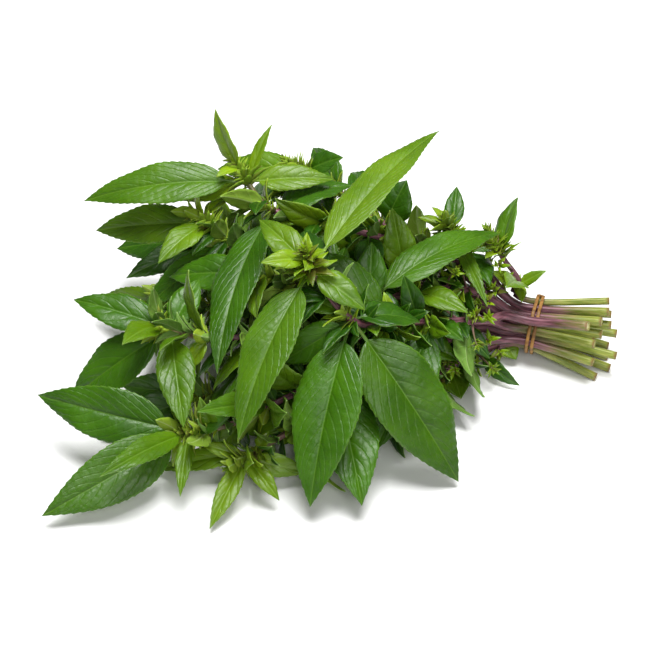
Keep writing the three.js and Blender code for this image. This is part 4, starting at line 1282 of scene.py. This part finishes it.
def vein_lines(tree):
    """Side veins where the vein number is whole, fading to the margin, and the midrib, which is gone
    0.36 mm from its middle."""
    from_vein = calculate(tree, "PINGPONG", trait(tree, "vein"), 0.5)
    side = fade(tree, from_vein, 0.01, 0.06, 1, 0)
    out = calculate(tree, "ABSOLUTE", trait(tree, "across"))
    side = calculate(tree, "MULTIPLY", side, fade(tree, out, 0.1, 0.9, 0.18, 0.0))
    middle = fade(tree, trait(tree, "midrib"), 0.1, 0.36, 0.4, 0)
    return calculate(tree, "MAXIMUM", side, middle)


def creases(tree):
    """Height between 0 in the side veins and the midrib and 1 on the domes between them."""
    from_vein = calculate(tree, "PINGPONG", trait(tree, "vein"), 0.5)
    side = fade(tree, from_vein, 0.0, 0.14)
    middle = fade(tree, trait(tree, "midrib"), 0.0, 1.1)
    return calculate(tree, "MINIMUM", side, middle)


def net_of_veins(tree):
    """Cells of about 3.2 mm and of 0.9 mm, deepest at their edges, added to the creases."""
    place = add_node(tree, "TexCoord").outputs["Object"]
    heights = []
    for scale in NET_SCALES:
        cells = add_node(tree, "TexVoronoi", {"Vector": place, "Scale": scale}, feature="DISTANCE_TO_EDGE")
        heights.append(fade(tree, cells.outputs["Distance"], 0, 0.3))
    both = calculate(tree, "MULTIPLY_ADD", heights[0], 0.28, calculate(tree, "MULTIPLY", heights[1], 0.07))
    return calculate(tree, "MULTIPLY_ADD", creases(tree), 0.55, both)


def leaf_upper():
    """Dark to light green by clouds and by leaf, the leaves inside the bunch darkest as painted shade, then
    towards fresh green, then veins and margins, whose pale rim is a painted glow of light through the thin
    edge, then the blush."""
    made, tree, shader = new_finish("leaf_upper")
    clouds = spots(tree, 70)
    cloud_share = fade(tree, clouds, 0.3, 0.7, 0, 0.5)
    # The tone is random for most leaves; for the leaves inside the bunch it is below zero, and their darkest
    # green is painted shade.
    green_share = calculate(tree, "MULTIPLY_ADD", trait(tree, "tone"), 0.5, cloud_share)
    green = mix(tree, green_share, LEAF_DARK, LEAF_LIGHT)
    fresh_green = mix(tree, clouds, LEAF_FRESH, LEAF_FRESHEST)
    to_tip = fade(tree, trait(tree, "along"), 0.1, 0.9, 1.15, 0.75)
    fresh = calculate(tree, "MULTIPLY", trait(tree, "fresh"), to_tip)
    green = mix(tree, fresh, green, fresh_green)
    pale = mix(tree, trait(tree, "fresh"), VEIN_PALE, VEIN_FRESH)
    green = mix(tree, vein_lines(tree), green, pale)
    out = calculate(tree, "ABSOLUTE", trait(tree, "across"))
    # Painted light: the margins are mixed towards pale green, as if light shone through the thin edge.
    green = mix(tree, fade(tree, out, 0.94, 1.0, 0, MARGIN_PAINTED_GLOW), green, pale)
    green = mix(tree, trait(tree, "blush"), green, BLUSH)
    rough = fade(tree, spots(tree, 220), 0.3, 0.7, 0.34, 0.46)
    relief = bump(tree, net_of_veins(tree), 0.6, 0.0004)
    set_inputs(tree, shader, {"Base Color": green, "Roughness": rough, "Normal": relief})
    set_inputs(tree, shader, {"Specular IOR Level": 0.34, **LIGHT_IN_LEAF})
    return made


def leaf_under():
    """Grey green, paler on the veins, which stand out here, and duller than the upper side."""
    made, tree, shader = new_finish("leaf_under")
    clouds = spots(tree, 90)
    green = mix(tree, clouds, UNDER_DARK, UNDER_LIGHT)
    green = mix(tree, calculate(tree, "MULTIPLY", trait(tree, "fresh"), 0.6), green, LEAF_FRESHEST)
    green = mix(tree, vein_lines(tree), green, UNDER_VEIN)
    green = mix(tree, trait(tree, "blush"), green, BLUSH)
    rough = fade(tree, clouds, 0.3, 0.7, 0.55, 0.68)
    relief = bump(tree, calculate(tree, "SUBTRACT", 1.0, net_of_veins(tree)), 0.6, 0.0003)
    set_inputs(tree, shader, {"Base Color": green, "Roughness": rough, "Normal": relief})
    set_inputs(tree, shader, {"Specular IOR Level": 0.25, **LIGHT_IN_LEAF})
    return made


# %% [markdown]
# ### Stems and cuts
# The skin is purple brown behind the band and goes over to pale green near the cut and at the young tip,
# in long streaks. The stem over the band stays purple nearly to its cut. The streaks come from noise that
# is drawn out along the stem. The cut shows a pale pith, a green ring of vessels and a rim that has dried
# to brown.

# %% Stem finishes
SKIN_PURPLE, SKIN_MAUVE = colour(66, 34, 40), colour(140, 92, 104)
SKIN_GREEN, SKIN_PALE = colour(98, 116, 20), colour(156, 160, 74)
PITH, VESSELS, DRIED = colour(206, 196, 146), colour(146, 150, 78), colour(128, 96, 60)


def stem_skin():
    """Purple to green by distance from the cut in mm, by stem and by streaks, green again at the tip, and a
    dried brown rim at the cut."""
    made, tree, shader = new_finish("stem_skin")
    far = calculate(tree, "MULTIPLY", trait(tree, "along"), 0.05)
    round_place = {"X": trait(tree, "across"), "Y": trait(tree, "vein"), "Z": far}
    streaks = spots(tree, 2.6, 3, add_node(tree, "CombineXYZ", round_place).outputs[0])
    streaks = fade(tree, streaks, 0.32, 0.68)
    purple = mix(tree, streaks, SKIN_PURPLE, SKIN_MAUVE)
    green = mix(tree, streaks, SKIN_GREEN, SKIN_PALE)
    edge = calculate(tree, "MULTIPLY_ADD", trait(tree, "tone"), 26, trait(tree, "along"))
    edge = calculate(tree, "MULTIPLY_ADD", streaks, 9, edge)
    near_cut = fade(tree, edge, 34, 56, 1, 0)
    near_tip = fade(tree, trait(tree, "fresh"), 0.86, 1.0)
    skin = mix(tree, near_cut, purple, green)
    skin = mix(tree, near_tip, skin, SKIN_GREEN)
    ragged = calculate(tree, "MULTIPLY_ADD", streaks, -1.6, trait(tree, "along"))
    skin = mix(tree, fade(tree, ragged, -0.6, 0.5, 0.85, 0), skin, DRIED)
    rough = fade(tree, streaks, 0, 1, 0.38, 0.52)
    relief = bump(tree, streaks, 0.4, 0.00018)
    set_inputs(tree, shader, {"Base Color": skin, "Roughness": rough, "Normal": relief})
    set_inputs(tree, shader, {"Subsurface Weight": 0.1, "Subsurface Scale": 0.001})
    return made


def stem_cut():
    """Pith to 0.6 of the radius, a ring of vessels, and the dried rim, all a little uneven."""
    made, tree, shader = new_finish("stem_cut")
    uneven = fade(tree, spots(tree, 1400), 0.3, 0.7, -0.12, 0.12)
    out = calculate(tree, "ADD", trait(tree, "midrib"), uneven)
    face = mix(tree, fade(tree, out, 0.5, 0.72), PITH, VESSELS)
    face = mix(tree, fade(tree, out, 0.86, 0.98), face, DRIED)
    rough = fade(tree, uneven, -0.1, 0.1, 0.6, 0.75)
    relief = bump(tree, spots(tree, 2600), 0.5, 0.0003)
    set_inputs(tree, shader, {"Base Color": face, "Roughness": rough, "Normal": relief})
    return made


# %% [markdown]
# ### Rubber
# The band is tan rubber, cut from a tube: a dull skin, clouded with dust and pricked by fine lumps.

# %% Rubber finish
RUBBER_DARK, RUBBER_LIGHT = colour(104, 70, 30), colour(158, 114, 54)


def band_rubber():
    """Tan, clouded with dust, and pricked by fine lumps."""
    made, tree, shader = new_finish("band_rubber")
    dust = spots(tree, 420, 4)
    tan = mix(tree, fade(tree, dust, 0.35, 0.65), RUBBER_DARK, RUBBER_LIGHT)
    rough = fade(tree, dust, 0.3, 0.7, 0.5, 0.66)
    relief = bump(tree, spots(tree, 3000), 0.4, 0.0001)
    set_inputs(tree, shader, {"Base Color": tan, "Roughness": rough, "Normal": relief})
    return made


finishes = [leaf_upper(), leaf_under(), stem_skin(), stem_cut()]
rubber = band_rubber()
print("finishes:", [made.name for made in finishes], rubber.name)

# %% [markdown]
# ## Putting the bunch together
# Each leafy stem becomes one piece that stands for its solid, and the band becomes another. None of them
# moves on its own, so all ride on the one body of the part.

# %% Pieces
for number, (stem, line, leaves) in enumerate(zip(STEMS, lines, grown), start=1):
    shells = [stem_shell(stem, line, number), *bract_shells(stem, line, number)]
    for index, found in enumerate(leaves):
        if found.get("stalk"):
            shells += [stalk_shell(found, number, index), stalk_bud(found, number, index)]
        else:
            shells.append(blade_shell(found, number, index))
    piece = make_piece("fine_" + stem["name"], shells, finishes)
    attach(piece, "root")
    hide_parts(stem["name"])

band = make_piece("fine_rubber_band", [band_shell()], [rubber])
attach(band, "root")
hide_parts("rubber_band")

# %% [markdown]
# ## Floor, light and camera
# The bunch lies on a plain pale floor under soft studio light: a broad lamp overhead, a weaker one from
# the right and in front, and an even, slightly warm world. The camera looks 40 degrees down through a 90
# mm lens.

# %% Floor
FLOOR_SIZE = 8
FLOOR_HEIGHT = -0.0002
bpy.ops.mesh.primitive_plane_add(size=FLOOR_SIZE, location=(0, 0, FLOOR_HEIGHT))
floor = bpy.context.object
floor.name = "floor"
made, tree, shader = new_finish("floor_paint")
white = mix(tree, spots(tree, 3), colour(240, 240, 240), colour(246, 246, 246))
set_inputs(tree, shader, {"Base Color": white, "Roughness": 0.9})
floor.data.materials.append(made)

# %% Lights
LAMP_SIZE = 0.5
LAMP_AIM = (0, 0, 0.03)
WORLD_LIGHT = {"Color": (1, 0.99, 0.93, 1), "Strength": 0.14}


def put_aimed(name, data, place, aim):
    """A lamp or camera at a place in metres, turned towards the aim."""
    made = bpy.data.objects.new(name, data)
    made.location = place
    made.rotation_euler = (Vector(aim) - Vector(place)).to_track_quat("-Z", "Y").to_euler()
    bpy.context.scene.collection.objects.link(made)
    return made


def soft_lamp(name, place, power):
    """A square lamp that shines at the middle of the bunch."""
    lamp = bpy.data.lights.new(name, "AREA")
    lamp.shape = "SQUARE"
    lamp.size = LAMP_SIZE
    lamp.energy = power
    put_aimed(name, lamp, place, LAMP_AIM)


soft_lamp("overhead_lamp", (0.05, 0.0, 1.0), 16)
soft_lamp("front_lamp", (0.2, -0.9, 0.8), 5)
world = bpy.data.worlds.new("white_world")
world.use_nodes = True
set_inputs(world.node_tree, world.node_tree.nodes["Background"], WORLD_LIGHT)
bpy.context.scene.world = world
bpy.context.scene.view_settings.view_transform = "Standard"

# %% Camera
CAMERA_PLACE = (-0.0065, -0.5346, 0.4795)
CAMERA_AIM = (-0.0065, -0.0037, 0.034)
lens = bpy.data.cameras.new("camera")
lens.lens = 90
lens.sensor_width = 36
bpy.context.scene.camera = put_aimed("camera", lens, CAMERA_PLACE, CAMERA_AIM)
print("camera at", CAMERA_PLACE)
